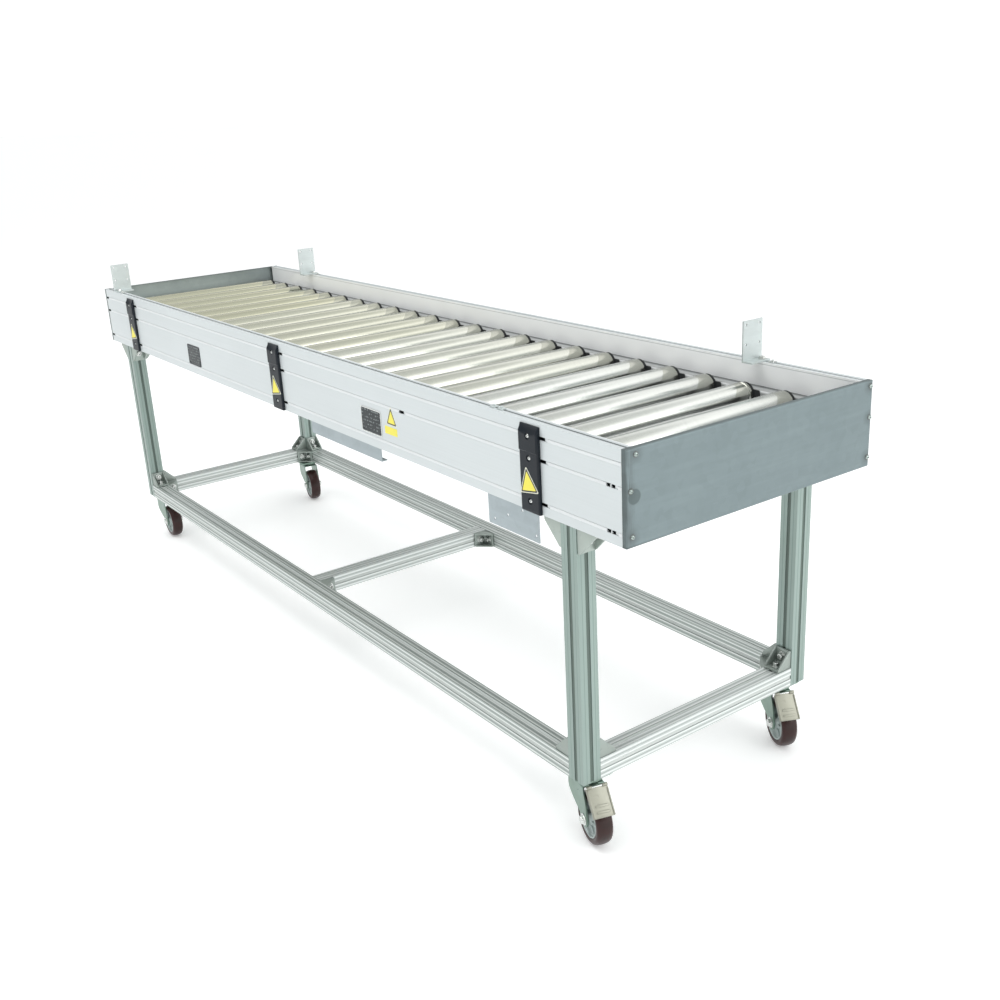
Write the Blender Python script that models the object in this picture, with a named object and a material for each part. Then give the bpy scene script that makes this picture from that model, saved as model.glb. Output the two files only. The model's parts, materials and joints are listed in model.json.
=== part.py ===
"""A gravity roller conveyor: a bed of free-turning steel rollers between two deep aluminium side rails,
carried by a stand of slotted aluminium profile on four swivel casters.

Metres, +Z up. +X runs along the bed, and -Y is the side with the black cover strips. The origin is on
the floor, in the middle of the overall box.
"""

import math

import bmesh
import bpy
from mathutils import Vector

GAP = 0.0003  # left between two pieces that touch
X, Y, Z = 0, 1, 2

# Side rails: a thin upper wall over a thick hollow lower part. u runs inwards from the outer face and
# v runs upwards from the underside.
RAIL_TOP = 0.778
RAIL_HEIGHT = 0.160
RAIL_HALF_LENGTH = 1.1945
RAIL_OUTER_Y = 0.2935
RAIL_TOP_WIDTH = 0.0215
RAIL_THICKNESS = 0.045
LEDGE_DROP = 0.048
RAIL_WALL = 0.003
OUTER_GROOVE_DROPS = (0.140, 0.064, 0.025)
TOP_GROOVE_U = 0.0115
RAIL_GROOVE = {"mouth": 0.0065, "lip": 0.0022, "cavity": 0.014, "floor": 0.008, "depth": 0.009}
TOP_GROOVE = {"mouth": 0.005, "lip": 0.002, "cavity": 0.011, "floor": 0.007, "depth": 0.007}
RAIL_BOTTOM = RAIL_TOP - RAIL_HEIGHT
RAIL_INNER_Y = RAIL_OUTER_Y - RAIL_THICKNESS

# Folded end plates, which close the bed at both ends
PLATE_DEPTH = 0.011
PLATE_SHEET = 0.002
PLATE_BEND = 0.0025

# Rollers
ROLLER_COUNT = 24
ROLLER_PITCH = 0.100
ROLLER_RADIUS = 0.025
ROLLER_HALF_LENGTH = 0.2416
ROLLER_WALL = 0.0015
ROLLER_END = 0.004
ROLLER_BORE = 0.0063
ROLLER_DROP = 0.061
ROLLER_SIDES = 20

# Stand of 40 mm square slotted profile
PROFILE = 0.040
PROFILE_GROOVE = {"mouth": 0.008, "lip": 0.0042, "cavity": 0.019, "floor": 0.010, "depth": 0.0122}
LEG_BOTTOM = 0.130
LEG_X = 1.062
LEG_Y = RAIL_OUTER_Y - PROFILE / 2

# Swivel casters, set in from the legs' outer corners
CASTER_INSET_X = 0.018
CASTER_INSET_Y = 0.020
CASTER_PLATE = 0.070
CASTER_PLATE_THICKNESS = 0.0035
HEAD_RADIUS = 0.026
HEAD_DEPTH = 0.0085
KINGPIN_RADIUS = 0.006
KINGPIN_NUT = 0.009
FORK_SHEET = 0.003
FORK_INNER = 0.038
FORK_END_RADIUS = 0.012
TRAIL = 0.032
WHEEL_RADIUS = 0.050
WHEEL_HALF_WIDTH = 0.016
HUB_HALF_LENGTH = 0.0175
WHEEL_SIDES = 24
AXLE_RADIUS = 0.006
RUNNING_CLEARANCE = 0.00006
AXLE_HEAD_RADIUS = 0.009
AXLE_HEAD = 0.007
CASTER_HEADINGS = {"near_left": -3, "far_left": -12, "near_right": -17, "far_right": -26}

# Brake pedals on the two casters at the +X end
PEDAL_WIDTH = 0.041
PEDAL_LENGTH = 0.055
PEDAL_SHEET = 0.0022
PEDAL_FLANGE = 0.007
PEDAL_PIVOT = (0.0425, -0.0098)  # forward of the swivel axis, and below the leg
PEDAL_SLOPE = 50

# Moulded cover strips on the near rail
STRIP_X = (-0.971, 0.0, 0.971)
STRIP_WIDTH = 0.048
STRIP_DEPTH = 0.008
STRIP_TOP_DROP = 0.006
STRIP_CHAMFER = 0.003

# Upright stop brackets on the rails
BRACKET_WIDTH = 0.053
BRACKET_HEIGHT = 0.080
BRACKET_FOOT = 0.025
BRACKET_SHEET = 0.003
BRACKET_HOLE_INSET = 0.008
BRACKET_HOLE_RADIUS = 0.0025
BRACKET_HOLE_HEIGHTS = (0.034, 0.072)
BRACKETS = {"near_left": (-1.111, -1), "far_left": (-0.920, 1), "far_right": (0.945, 1)}

# Sheets that hang below the near rail
COVER_SPAN = (0.060, 0.380)
COVER_BELOW = 0.056
COVER_LIP = 0.012
JUNCTION_SPAN = (0.771, 0.924)
JUNCTION_BELOW = 0.085
HANGING_SHEET = 0.002
HANGING_OVERLAP = 0.030
JUNCTION_HOLES = ((0.018, 0.012), (0.143, 0.012), (0.060, 0.030), (0.105, 0.050))
JUNCTION_HOLE_RADIUS = 0.003

COLOURS = {
    "anodised": ((0.76, 0.79, 0.81, 1), 0.42, 0.6),
    "profile": ((0.47, 0.54, 0.51, 1), 0.38, 0.7),
    "sheet": ((0.30, 0.36, 0.37, 1), 0.50, 0.7),
    "roller": ((0.72, 0.73, 0.68, 1), 0.22, 1.0),
    "plated": ((0.42, 0.48, 0.44, 1), 0.35, 0.9),
    "pedal": ((0.52, 0.52, 0.44, 1), 0.40, 0.8),
    "tread": ((0.09, 0.018, 0.020, 1), 0.35, 0.0),
    "black": ((0.025, 0.028, 0.030, 1), 0.45, 0.0),
    "bracket": ((0.72, 0.75, 0.75, 1), 0.45, 0.5),
    "cover": ((0.50, 0.56, 0.58, 1), 0.50, 0.4),
}


def clear_scene():
    for thing in list(bpy.data.objects):
        bpy.data.objects.remove(thing, do_unlink=True)


def material(kind):
    if kind in bpy.data.materials:
        return bpy.data.materials[kind]
    colour, roughness, metallic = COLOURS[kind]
    made = bpy.data.materials.new(kind)
    made.use_nodes = True
    shader = made.node_tree.nodes["Principled BSDF"]
    shader.inputs["Base Color"].default_value = colour
    shader.inputs["Roughness"].default_value = roughness
    shader.inputs["Metallic"].default_value = metallic
    made.diffuse_color = colour
    return made


def empty(name, location, parent=None, turn=0.0):
    """An empty to hang pieces on, turned about Z by an angle in degrees."""
    made = bpy.data.objects.new(name, None)
    bpy.context.scene.collection.objects.link(made)
    made.location = location
    made.rotation_euler = (0, 0, math.radians(turn))
    made.parent = parent
    return made


def piece(name, mesh, kind, parent, location=(0, 0, 0), rotation=(0, 0, 0)):
    made = bpy.data.objects.new(name, mesh)
    bpy.context.scene.collection.objects.link(made)
    if not mesh.materials:
        mesh.materials.append(material(kind))
    made.location = location
    made.rotation_euler = rotation
    made.parent = parent
    return made


def mesh_of(builder, name, smooth=False):
    bmesh.ops.recalc_face_normals(builder, faces=builder.faces[:])
    if builder.calc_volume(signed=True) < 0:
        bmesh.ops.reverse_faces(builder, faces=builder.faces[:])
    mesh = bpy.data.meshes.new(name)
    builder.to_mesh(mesh)
    builder.free()
    if smooth:
        mesh.shade_smooth()
        mesh.set_sharp_from_angle(angle=math.radians(32))
    return mesh


def extrusion(name, loops, axis, start, end, smooth=False):
    """The flat area between an outline and its holes, drawn out along an axis from start to end."""
    across = [side for side in (X, Y, Z) if side != axis]
    builder = bmesh.new()
    for loop in loops:
        corners = []
        for point in loop:
            place = Vector((0, 0, 0))
            place[across[0]], place[across[1]], place[axis] = point[0], point[1], start
            corners.append(builder.verts.new(place))
        for corner, following in zip(corners, corners[1:] + corners[:1]):
            builder.edges.new((corner, following))
    bmesh.ops.triangle_fill(builder, use_beauty=True, edges=builder.edges[:])
    drawn = bmesh.ops.extrude_face_region(builder, geom=builder.faces[:])["geom"]
    along = Vector((0, 0, 0))
    along[axis] = end - start
    moved = [item for item in drawn if isinstance(item, bmesh.types.BMVert)]
    bmesh.ops.translate(builder, verts=moved, vec=along)
    return mesh_of(builder, name, smooth)


def turned(name, profile, sides, axis=Y, facet_down=False):
    """A closed profile of (radius, height) points turned about an axis through the origin."""
    builder = bmesh.new()
    first = math.pi / sides if facet_down else 0
    toward = Vector((math.cos(first), math.sin(first), 0))
    corners = [builder.verts.new(toward * radius + Vector((0, 0, height))) for radius, height in profile]
    for corner, following in zip(corners, corners[1:] + corners[:1]):
        builder.edges.new((corner, following))
    outline = builder.verts[:] + builder.edges[:]
    bmesh.ops.spin(builder, geom=outline, cent=(0, 0, 0), axis=(0, 0, 1), angle=math.tau,
                   steps=sides, use_merge=True, use_duplicate=False)
    bmesh.ops.remove_doubles(builder, verts=builder.verts[:], dist=1e-6)
    if axis == Y:
        for corner in builder.verts:
            across, height = corner.co.y, corner.co.z
            corner.co.y, corner.co.z = height, across
    return mesh_of(builder, name, smooth=True)


def box_mesh(name, low, high):
    return extrusion(name, [rectangle(low[:2], high[:2])], Z, low[2], high[2])


def rectangle(low, high):
    return [(low[0], low[1]), (high[0], low[1]), (high[0], high[1]), (low[0], high[1])]


def arc(centre, radius, first, last, steps):
    """Points on an arc, with the angles in degrees from the first axis."""
    points = []
    for step in range(steps + 1):
        angle = math.radians(first + (last - first) * step / steps)
        points.append((centre[0] + radius * math.cos(angle), centre[1] + radius * math.sin(angle)))
    return points


def groove_points(centre, along, shape):
    """A T groove cut into an outline. The outline runs in direction along, with its inside to the left."""
    centre, along = Vector(centre), Vector(along)
    inward = Vector((-along.y, along.x))
    mouth, cavity, floor = shape["mouth"] / 2, shape["cavity"] / 2, shape["floor"] / 2
    half = [(mouth, 0), (mouth, shape["lip"]), (cavity, shape["lip"]), (floor, shape["depth"])]
    before = [centre - along * out + inward * depth for out, depth in half]
    after = [centre + along * out + inward * depth for out, depth in reversed(half)]
    return [tuple(point) for point in before + after]


def combine(target, other, operation):
    """Joins other to target or cuts it away, and hides other from the render."""
    other.hide_render = True
    other.display_type = "WIRE"
    modifier = target.modifiers.new(operation.lower(), "BOOLEAN")
    modifier.operation = operation
    modifier.object = other
    modifier.solver = "EXACT"


def drill(target, parent, places, radius, axis, start, end):
    """Round holes through target at each of the places, each with a cutter of its own."""
    for number, place in enumerate(places):
        loop = arc(place, radius, 0, 330, 11)
        cutter = extrusion(f"{target.name}_drill", [loop], axis, start, end)
        combine(target, piece(f"{target.name}_drill_{number}", cutter, "black", parent), "DIFFERENCE")


def profile_outline():
    half = PROFILE / 2
    points = []
    for quarter in range(4):
        along = Vector((math.cos(quarter * math.pi / 2), math.sin(quarter * math.pi / 2)))
        outward = Vector((along.y, -along.x))
        points.append(tuple(outward * half - along * half))
        points += groove_points(outward * half, along, PROFILE_GROOVE)
    return points


def profile_length(name, axis, start, end, parent, location):
    """One length of square slotted profile along an axis."""
    mesh = extrusion(name, [profile_outline()], axis, start, end)
    return piece(name, mesh, "profile", parent, location)


def rail_loops():
    """The rail's section: its outline, anticlockwise, and its two hollow chambers."""
    outline = [(0, 0)]
    outline += groove_points((RAIL_THICKNESS / 2, 0), (1, 0), RAIL_GROOVE)
    outline += [(RAIL_THICKNESS, 0), (RAIL_THICKNESS, RAIL_HEIGHT - LEDGE_DROP)]
    outline += [(RAIL_TOP_WIDTH, RAIL_HEIGHT - LEDGE_DROP), (RAIL_TOP_WIDTH, RAIL_HEIGHT)]
    outline += groove_points((TOP_GROOVE_U, RAIL_HEIGHT), (-1, 0), TOP_GROOVE)
    outline += [(0, RAIL_HEIGHT)]
    for drop in reversed(OUTER_GROOVE_DROPS):
        outline += groove_points((0, RAIL_HEIGHT - drop), (0, -1), RAIL_GROOVE)
    left = RAIL_GROOVE["depth"] + RAIL_WALL
    right = RAIL_THICKNESS - RAIL_WALL
    bottom = RAIL_GROOVE["depth"] + RAIL_WALL
    top = RAIL_HEIGHT - LEDGE_DROP - RAIL_WALL
    middle = (bottom + top) / 2
    lower = rectangle((left, bottom), (right, middle - RAIL_WALL / 2))
    upper = rectangle((left, middle + RAIL_WALL / 2), (right, top))
    return [outline, lower, upper]


def side_rail(name, side, parent):
    """A side rail on the near side (-1) or the far side (1)."""
    loops = [[(side * (RAIL_OUTER_Y - u), v) for u, v in loop] for loop in rail_loops()]
    mesh = extrusion(name, loops, X, -RAIL_HALF_LENGTH, RAIL_HALF_LENGTH)
    piece(name, mesh, "anodised", parent, (0, 0, RAIL_BOTTOM))


def end_plate(name, end, parent):
    """A sheet across the rails' ends with all four edges folded back towards them."""
    builder = bmesh.new()
    face = end * (RAIL_HALF_LENGTH + GAP + PLATE_DEPTH)
    back = end * (RAIL_HALF_LENGTH + GAP)
    corners = []
    for y, z in rectangle((-RAIL_OUTER_Y, 0), (RAIL_OUTER_Y, RAIL_HEIGHT)):
        corners.append(builder.verts.new((back, y, z)))
    opening = builder.faces.new(corners)
    drawn = bmesh.ops.extrude_face_region(builder, geom=[opening])["geom"]
    front = [item for item in drawn if isinstance(item, bmesh.types.BMVert)]
    bmesh.ops.translate(builder, verts=front, vec=(face - back, 0, 0))
    bmesh.ops.recalc_face_normals(builder, faces=builder.faces[:])
    bmesh.ops.inset_region(builder, faces=[opening], thickness=PLATE_SHEET)
    drawn = bmesh.ops.extrude_face_region(builder, geom=[opening])["geom"]
    floor = [item for item in drawn if isinstance(item, bmesh.types.BMVert)]
    bmesh.ops.translate(builder, verts=floor, vec=(end * (PLATE_DEPTH - PLATE_SHEET), 0, 0))
    if opening.is_valid:
        bmesh.ops.delete(builder, geom=[opening], context="FACES")
    bends = [edge for edge in builder.edges if all(abs(v.co.x - face) < GAP for v in edge.verts)]
    bmesh.ops.bevel(builder, geom=bends, offset=PLATE_BEND, segments=3, profile=0.5, affect="EDGES")
    piece(name, mesh_of(builder, name), "sheet", parent, (0, 0, RAIL_BOTTOM))


def rollers(parent):
    """The rollers, all alike: a tube with an end disc at each end, bored for its axle."""
    inner = ROLLER_RADIUS - ROLLER_WALL
    half = ROLLER_HALF_LENGTH
    disc = half - ROLLER_END
    profile = [(ROLLER_RADIUS, -half), (ROLLER_RADIUS, half), (ROLLER_BORE, half), (ROLLER_BORE, disc),
               (inner, disc), (inner, -disc), (ROLLER_BORE, -disc), (ROLLER_BORE, -half)]
    mesh = turned("roller", profile, ROLLER_SIDES)
    for number in range(ROLLER_COUNT):
        x = (number - (ROLLER_COUNT - 1) / 2) * ROLLER_PITCH
        piece(f"roller_{number + 1:02d}", mesh, "roller", parent, (x, 0, RAIL_TOP - ROLLER_DROP))


def stand(parent):
    """Four legs with beams between their feet, a beam across the middle, and a tie between the rails."""
    for side_name, side in (("near", -1), ("far", 1)):
        for end_name, end in (("left", -1), ("right", 1)):
            profile_length(f"leg_{side_name}_{end_name}", Z, LEG_BOTTOM, RAIL_BOTTOM - GAP, parent,
                           (end * LEG_X, side * LEG_Y, 0))
    beam_z = LEG_BOTTOM + PROFILE / 2
    reach = LEG_X - PROFILE / 2 - GAP
    for side_name, side in (("near", -1), ("far", 1)):
        profile_length(f"beam_{side_name}", X, -reach, reach, parent, (0, side * LEG_Y, beam_z))
    reach = LEG_Y - PROFILE / 2 - GAP
    for place, x in (("left", -LEG_X), ("middle", 0), ("right", LEG_X)):
        profile_length(f"cross_beam_{place}", Y, -reach, reach, parent, (x, 0, beam_z))
    reach = RAIL_INNER_Y - GAP
    profile_length("bed_tie", Y, -reach, reach, parent, (0, 0, RAIL_BOTTOM + PROFILE / 2))


def caster_head(name, parent):
    """The fixed plate of a caster, with its bearing race and the kingpin that the fork turns on."""
    half = CASTER_PLATE / 2
    plate_bottom = -GAP - CASTER_PLATE_THICKNESS
    plate = box_mesh(name, (-half, -half, plate_bottom), (half, half, -GAP))
    head = piece(name, plate, "plated", parent, (0, 0, LEG_BOTTOM))
    race_bottom = plate_bottom - HEAD_DEPTH
    crown_bottom = race_bottom - 2 * GAP - FORK_SHEET
    race_top = plate_bottom + CASTER_PLATE_THICKNESS / 2
    profile = [(0, race_top), (HEAD_RADIUS, race_top), (HEAD_RADIUS, race_bottom),
               (KINGPIN_RADIUS, race_bottom), (KINGPIN_RADIUS, crown_bottom - GAP),
               (KINGPIN_NUT, crown_bottom - GAP), (KINGPIN_NUT, crown_bottom - KINGPIN_RADIUS),
               (0, crown_bottom - KINGPIN_RADIUS)]
    race = piece(f"{name}_race", turned(f"{name}_race", profile, 20, axis=Z), "plated", parent,
                 (0, 0, LEG_BOTTOM))
    combine(head, race, "UNION")
    return race_bottom - 2 * GAP


def caster_fork(name, crown_top, parent):
    """The pressed fork, with its axle bolt fixed in it."""
    axle_z = WHEEL_RADIUS - LEG_BOTTOM
    half = FORK_INNER / 2 + FORK_SHEET
    outline = [(-0.027, crown_top), (-0.027, crown_top - 0.012), (-0.014, crown_top - 0.034)]
    outline += arc((TRAIL, axle_z), FORK_END_RADIUS, 190, 360, 6)
    outline += [(0.040, crown_top - 0.032), (0.030, crown_top - 0.010), (0.030, crown_top)]
    location = (0, 0, LEG_BOTTOM)
    fork = piece(name, extrusion(name, [outline], Y, -half, half), "plated", parent, location)
    inside = FORK_INNER / 2
    slot = box_mesh(f"{name}_slot", (-0.060, -inside, -LEG_BOTTOM), (0.080, inside, crown_top - FORK_SHEET))
    combine(fork, piece(f"{name}_slot", slot, "black", parent, location), "DIFFERENCE")
    bore_radius = (KINGPIN_RADIUS + RUNNING_CLEARANCE) / math.cos(math.pi / 24)
    bore = arc((0, 0), bore_radius, 0, 345, 23)
    hole = extrusion(f"{name}_bore", [bore], Z, crown_top - 2 * FORK_SHEET, crown_top + FORK_SHEET)
    combine(fork, piece(f"{name}_bore", hole, "black", parent, location), "DIFFERENCE")
    head_face = half + AXLE_HEAD
    under_head = half - FORK_SHEET / 2
    profile = [(0, -head_face), (AXLE_HEAD_RADIUS, -head_face), (AXLE_HEAD_RADIUS, -under_head),
               (AXLE_RADIUS, -under_head), (AXLE_RADIUS, under_head), (AXLE_HEAD_RADIUS, under_head),
               (AXLE_HEAD_RADIUS, head_face), (0, head_face)]
    axle = piece(f"{name}_axle", turned(f"{name}_axle", profile, 16), "plated", parent,
                 (TRAIL, 0, WHEEL_RADIUS))
    combine(fork, axle, "UNION")


def wheel_mesh():
    """A wheel that stands on a flat of its faceted tread, so the flats lie at the wheel's radius."""
    stretch = 1 / math.cos(math.pi / WHEEL_SIDES)
    width = WHEEL_HALF_WIDTH
    half_section = [(AXLE_RADIUS + RUNNING_CLEARANCE, HUB_HALF_LENGTH), (0.0125, HUB_HALF_LENGTH), (0.0125, 0.009),
                    (0.034, 0.009), (0.037, width - 0.001), (0.044, width),
                    (0.0485, width - 0.0035), (WHEEL_RADIUS, width - 0.009)]
    section = half_section + [(radius, -across) for radius, across in reversed(half_section)]
    section = [(radius * stretch, across) for radius, across in section]
    return turned("caster_wheel", section, WHEEL_SIDES, facet_down=True)


def pedal_mesh():
    """A channel that slopes down from its pivot at the origin, with its flanges turned under."""
    half = PEDAL_WIDTH / 2
    inner = half - PEDAL_SHEET
    section = [(-half, -PEDAL_FLANGE), (-inner, -PEDAL_FLANGE), (-inner, -PEDAL_SHEET),
               (inner, -PEDAL_SHEET), (inner, -PEDAL_FLANGE), (half, -PEDAL_FLANGE),
               (half, 0), (-half, 0)]
    return extrusion("brake_pedal", [section], X, 0, PEDAL_LENGTH)


def casters(parent):
    wheel = wheel_mesh()
    pedal = pedal_mesh()
    for place, heading in CASTER_HEADINGS.items():
        side = -1 if place.startswith("near") else 1
        end = -1 if place.endswith("left") else 1
        axis_x = end * (LEG_X - CASTER_INSET_X)
        axis_y = side * (LEG_Y - CASTER_INSET_Y)
        fixed = empty(f"caster_seat_{place}", (axis_x, axis_y, 0), parent)
        swivel = empty(f"caster_swivel_{place}", (axis_x, axis_y, 0), parent, heading)
        crown_top = caster_head(f"caster_head_{place}", fixed)
        caster_fork(f"caster_fork_{place}", crown_top, swivel)
        piece(f"caster_wheel_{place}", wheel, "tread", swivel, (TRAIL, 0, WHEEL_RADIUS))
        if end > 0:
            pivot = (PEDAL_PIVOT[0], 0, LEG_BOTTOM + PEDAL_PIVOT[1])
            slope = (0, math.radians(PEDAL_SLOPE), 0)
            piece(f"brake_pedal_{place}", pedal, "pedal", swivel, pivot, slope)


def cover_strips(parent):
    """Moulded strips up the near rail's outer face, chamfered on their outer edges."""
    half = STRIP_WIDTH / 2
    inner = -RAIL_OUTER_Y - GAP
    outer = inner - STRIP_DEPTH
    section = [(-half, inner), (-half, outer + STRIP_CHAMFER), (-half + STRIP_CHAMFER, outer),
               (half - STRIP_CHAMFER, outer), (half, outer + STRIP_CHAMFER), (half, inner)]
    for place, x in zip(("left", "middle", "right"), STRIP_X):
        name = f"cover_strip_{place}"
        mesh = extrusion(name, [section], Z, 0, RAIL_HEIGHT - STRIP_TOP_DROP)
        piece(name, mesh, "black", parent, (x, 0, RAIL_BOTTOM))


def stop_brackets(parent):
    """Upright plates on the rails, each folded from one sheet with a foot towards +X."""
    half = BRACKET_WIDTH / 2
    sheet = BRACKET_SHEET
    side_view = [(0, 0), (BRACKET_FOOT, 0), (BRACKET_FOOT, sheet), (sheet, sheet),
                 (sheet, BRACKET_HEIGHT), (0, BRACKET_HEIGHT)]
    across = half - BRACKET_HOLE_INSET
    places = [(y, z) for y in (-across, across) for z in BRACKET_HOLE_HEIGHTS]
    for place, (x, side) in BRACKETS.items():
        seat = empty(f"bracket_seat_{place}", (x, side * (RAIL_OUTER_Y - half), RAIL_TOP + GAP), parent)
        name = f"stop_bracket_{place}"
        mesh = extrusion(name, [side_view], Y, -half, half)
        drill(piece(name, mesh, "bracket", seat), seat, places, BRACKET_HOLE_RADIUS, X, -sheet, 2 * sheet)


def hanging_sheets(parent):
    """A wiring cover and a drilled junction plate on the near rail's inner face, hanging below it."""
    outer = -RAIL_INNER_Y + GAP
    inner = outer + HANGING_SHEET
    section = [(outer, -COVER_BELOW), (inner + COVER_LIP, -COVER_BELOW),
               (inner + COVER_LIP, HANGING_SHEET - COVER_BELOW), (inner, HANGING_SHEET - COVER_BELOW),
               (inner, HANGING_OVERLAP), (outer, HANGING_OVERLAP)]
    cover = extrusion("wiring_cover", [section], X, *COVER_SPAN)
    piece("wiring_cover", cover, "cover", parent, (0, 0, RAIL_BOTTOM))
    corner = Vector((JUNCTION_SPAN[0], -JUNCTION_BELOW))
    sheet = rectangle(corner, (JUNCTION_SPAN[1], HANGING_OVERLAP))
    places = [tuple(corner + Vector(hole)) for hole in JUNCTION_HOLES]
    plate = piece("junction_plate", extrusion("junction_plate", [sheet], Y, outer, inner), "cover", parent,
                  (0, 0, RAIL_BOTTOM))
    seat = empty("junction_seat", (0, 0, RAIL_BOTTOM), parent)
    drill(plate, seat, places, JUNCTION_HOLE_RADIUS, Y, outer - HANGING_SHEET, inner + HANGING_SHEET)


def build():
    clear_scene()
    conveyor = empty("conveyor", (0, (STRIP_DEPTH + GAP) / 2, 0))
    side_rail("rail_near", -1, conveyor)
    side_rail("rail_far", 1, conveyor)
    end_plate("end_plate_left", -1, conveyor)
    end_plate("end_plate_right", 1, conveyor)
    rollers(conveyor)
    stand(conveyor)
    casters(conveyor)
    cover_strips(conveyor)
    stop_brackets(conveyor)
    hanging_sheets(conveyor)


build()
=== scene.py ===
"""The looks of a gravity roller conveyor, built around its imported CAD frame.

Metres, +Z up, +X along the bed. Every position comes from the frame's own boxes and joints.
"""

import json
import math

import bmesh
import bpy
from mathutils import Matrix, Vector


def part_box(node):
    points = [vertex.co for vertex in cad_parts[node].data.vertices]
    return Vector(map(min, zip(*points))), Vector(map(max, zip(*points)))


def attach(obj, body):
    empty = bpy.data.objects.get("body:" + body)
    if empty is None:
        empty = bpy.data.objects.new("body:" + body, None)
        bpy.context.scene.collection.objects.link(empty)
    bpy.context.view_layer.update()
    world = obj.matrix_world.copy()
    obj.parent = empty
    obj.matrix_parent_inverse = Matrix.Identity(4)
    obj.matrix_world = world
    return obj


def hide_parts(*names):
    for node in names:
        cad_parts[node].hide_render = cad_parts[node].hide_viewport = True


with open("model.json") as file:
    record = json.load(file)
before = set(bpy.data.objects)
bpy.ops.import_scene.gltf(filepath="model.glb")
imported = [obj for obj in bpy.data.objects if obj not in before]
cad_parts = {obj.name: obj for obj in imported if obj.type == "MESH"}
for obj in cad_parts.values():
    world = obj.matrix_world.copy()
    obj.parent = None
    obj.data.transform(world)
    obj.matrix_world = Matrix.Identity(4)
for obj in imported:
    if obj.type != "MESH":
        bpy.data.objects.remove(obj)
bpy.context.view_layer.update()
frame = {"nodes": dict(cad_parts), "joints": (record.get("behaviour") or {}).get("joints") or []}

X, Y, Z = 0, 1, 2
HERE = Matrix.Identity(4)
ROOT = "frame"
CAD = frame["nodes"]
JOINTS = {joint["name"]: joint for joint in frame["joints"]}

# Places that the rest is measured from
NEAR_LOW, NEAR_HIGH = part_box("rail_near")
FAR_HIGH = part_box("rail_far")[1]
MID_Y = (NEAR_LOW.y + FAR_HIGH.y) / 2
RAIL_TOP = NEAR_HIGH.z
RAIL_BOTTOM = NEAR_LOW.z
RAIL_END = NEAR_HIGH.x
RAIL_OUTER = MID_Y - NEAR_LOW.y
RAIL_INNER = MID_Y - NEAR_HIGH.y
LEDGE_TOP = RAIL_TOP - 0.048
WALL_THICKNESS = 0.0215
UPPER_WALL = RAIL_OUTER - WALL_THICKNESS
RAIL_THICKNESS = RAIL_OUTER - RAIL_INNER
GROOVE_HEIGHTS = (0.020, 0.096, 0.135)
GROOVE_MOUTH = 0.0065
TOP_SLOT_IN = 0.0115
ROLLER_LOW, ROLLER_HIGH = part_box("roller_12")
ROLLER_HALF = (ROLLER_HIGH.y - ROLLER_LOW.y) / 2
ROLLER_RADIUS = (ROLLER_HIGH.z - ROLLER_LOW.z) / 2
PLATE_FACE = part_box("end_plate_right")[1].x
PROFILE = 0.040
LEG_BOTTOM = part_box("leg_near_right")[0].z
ROLLER_COUNT = 24
GROOVED_ROLLER = 22
STRIP_HALF = 0.0255
FOOT_BRACKET = 0.038
TOP_BRACKET = 0.045
BRACKET_GAP = 0.0002
PEDAL_SIZE = (0.041, 0.055)
PEDAL_SLOPE = 50

# Fine lines along a profile's faces, out from its centre line: a dark score, and painted highlight lines
SCORE_OUT = 0.0115
HIGHLIGHT_LINES_OUT = (0.0062, 0.0158)

# The end plates' screws on each side: how far in from the plate's edge and how far up, for each one
PLATE_SCREWS = {
    -1: ((0.0105, 0.018), (0.0080, 0.093), (0.0190, 0.150)),
    1: ((0.0055, 0.018), (0.0055, 0.093), (0.0070, 0.150)),
}
SCREW_SPOTS = []
for end in (-1, 1):
    for side, places in PLATE_SCREWS.items():
        for inset, height in places:
            y = MID_Y + side * (RAIL_OUTER - inset)
            SCREW_SPOTS.append((end * PLATE_FACE, y, RAIL_BOTTOM + height))


# ---------------------------------------------------------------- shapes


def facing(direction, at=(0, 0, 0)):
    """A placing whose own Z points along direction."""
    turn = Vector(direction).to_track_quat("Z", "Y").to_matrix().to_4x4()
    return Matrix.Translation(at) @ turn


def axes(first, second, at=(0, 0, 0)):
    """A placing whose own X and Z point along first and second."""
    first, second = Vector(first).normalized(), Vector(second).normalized()
    across = second.cross(first)
    turn = Matrix((first, across, second)).transposed().to_4x4()
    return Matrix.Translation(at) @ turn


def arc(centre, radius, first, last, steps=6):
    points = []
    for step in range(steps + 1):
        angle = math.radians(first + (last - first) * step / steps)
        points.append((centre[0] + radius * math.cos(angle), centre[1] + radius * math.sin(angle)))
    return points


def rounded(low, high, radius, steps=5):
    """A rectangle with round corners, anticlockwise."""
    corners = ((high[0], low[1], -90), (high[0], high[1], 0), (low[0], high[1], 90), (low[0], low[1], 180))
    points = []
    for x, y, first in corners:
        centre_x = x - math.copysign(radius, x - low[0] - 1e-9)
        centre_y = y - math.copysign(radius, y - low[1] - 1e-9)
        points += arc((centre_x, centre_y), radius, first, first + 90, steps)
    return points


def mirror_image(side):
    """A lathe profile's other half, past height 0."""
    return [(radius, -height) for radius, height in reversed(side)]


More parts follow.
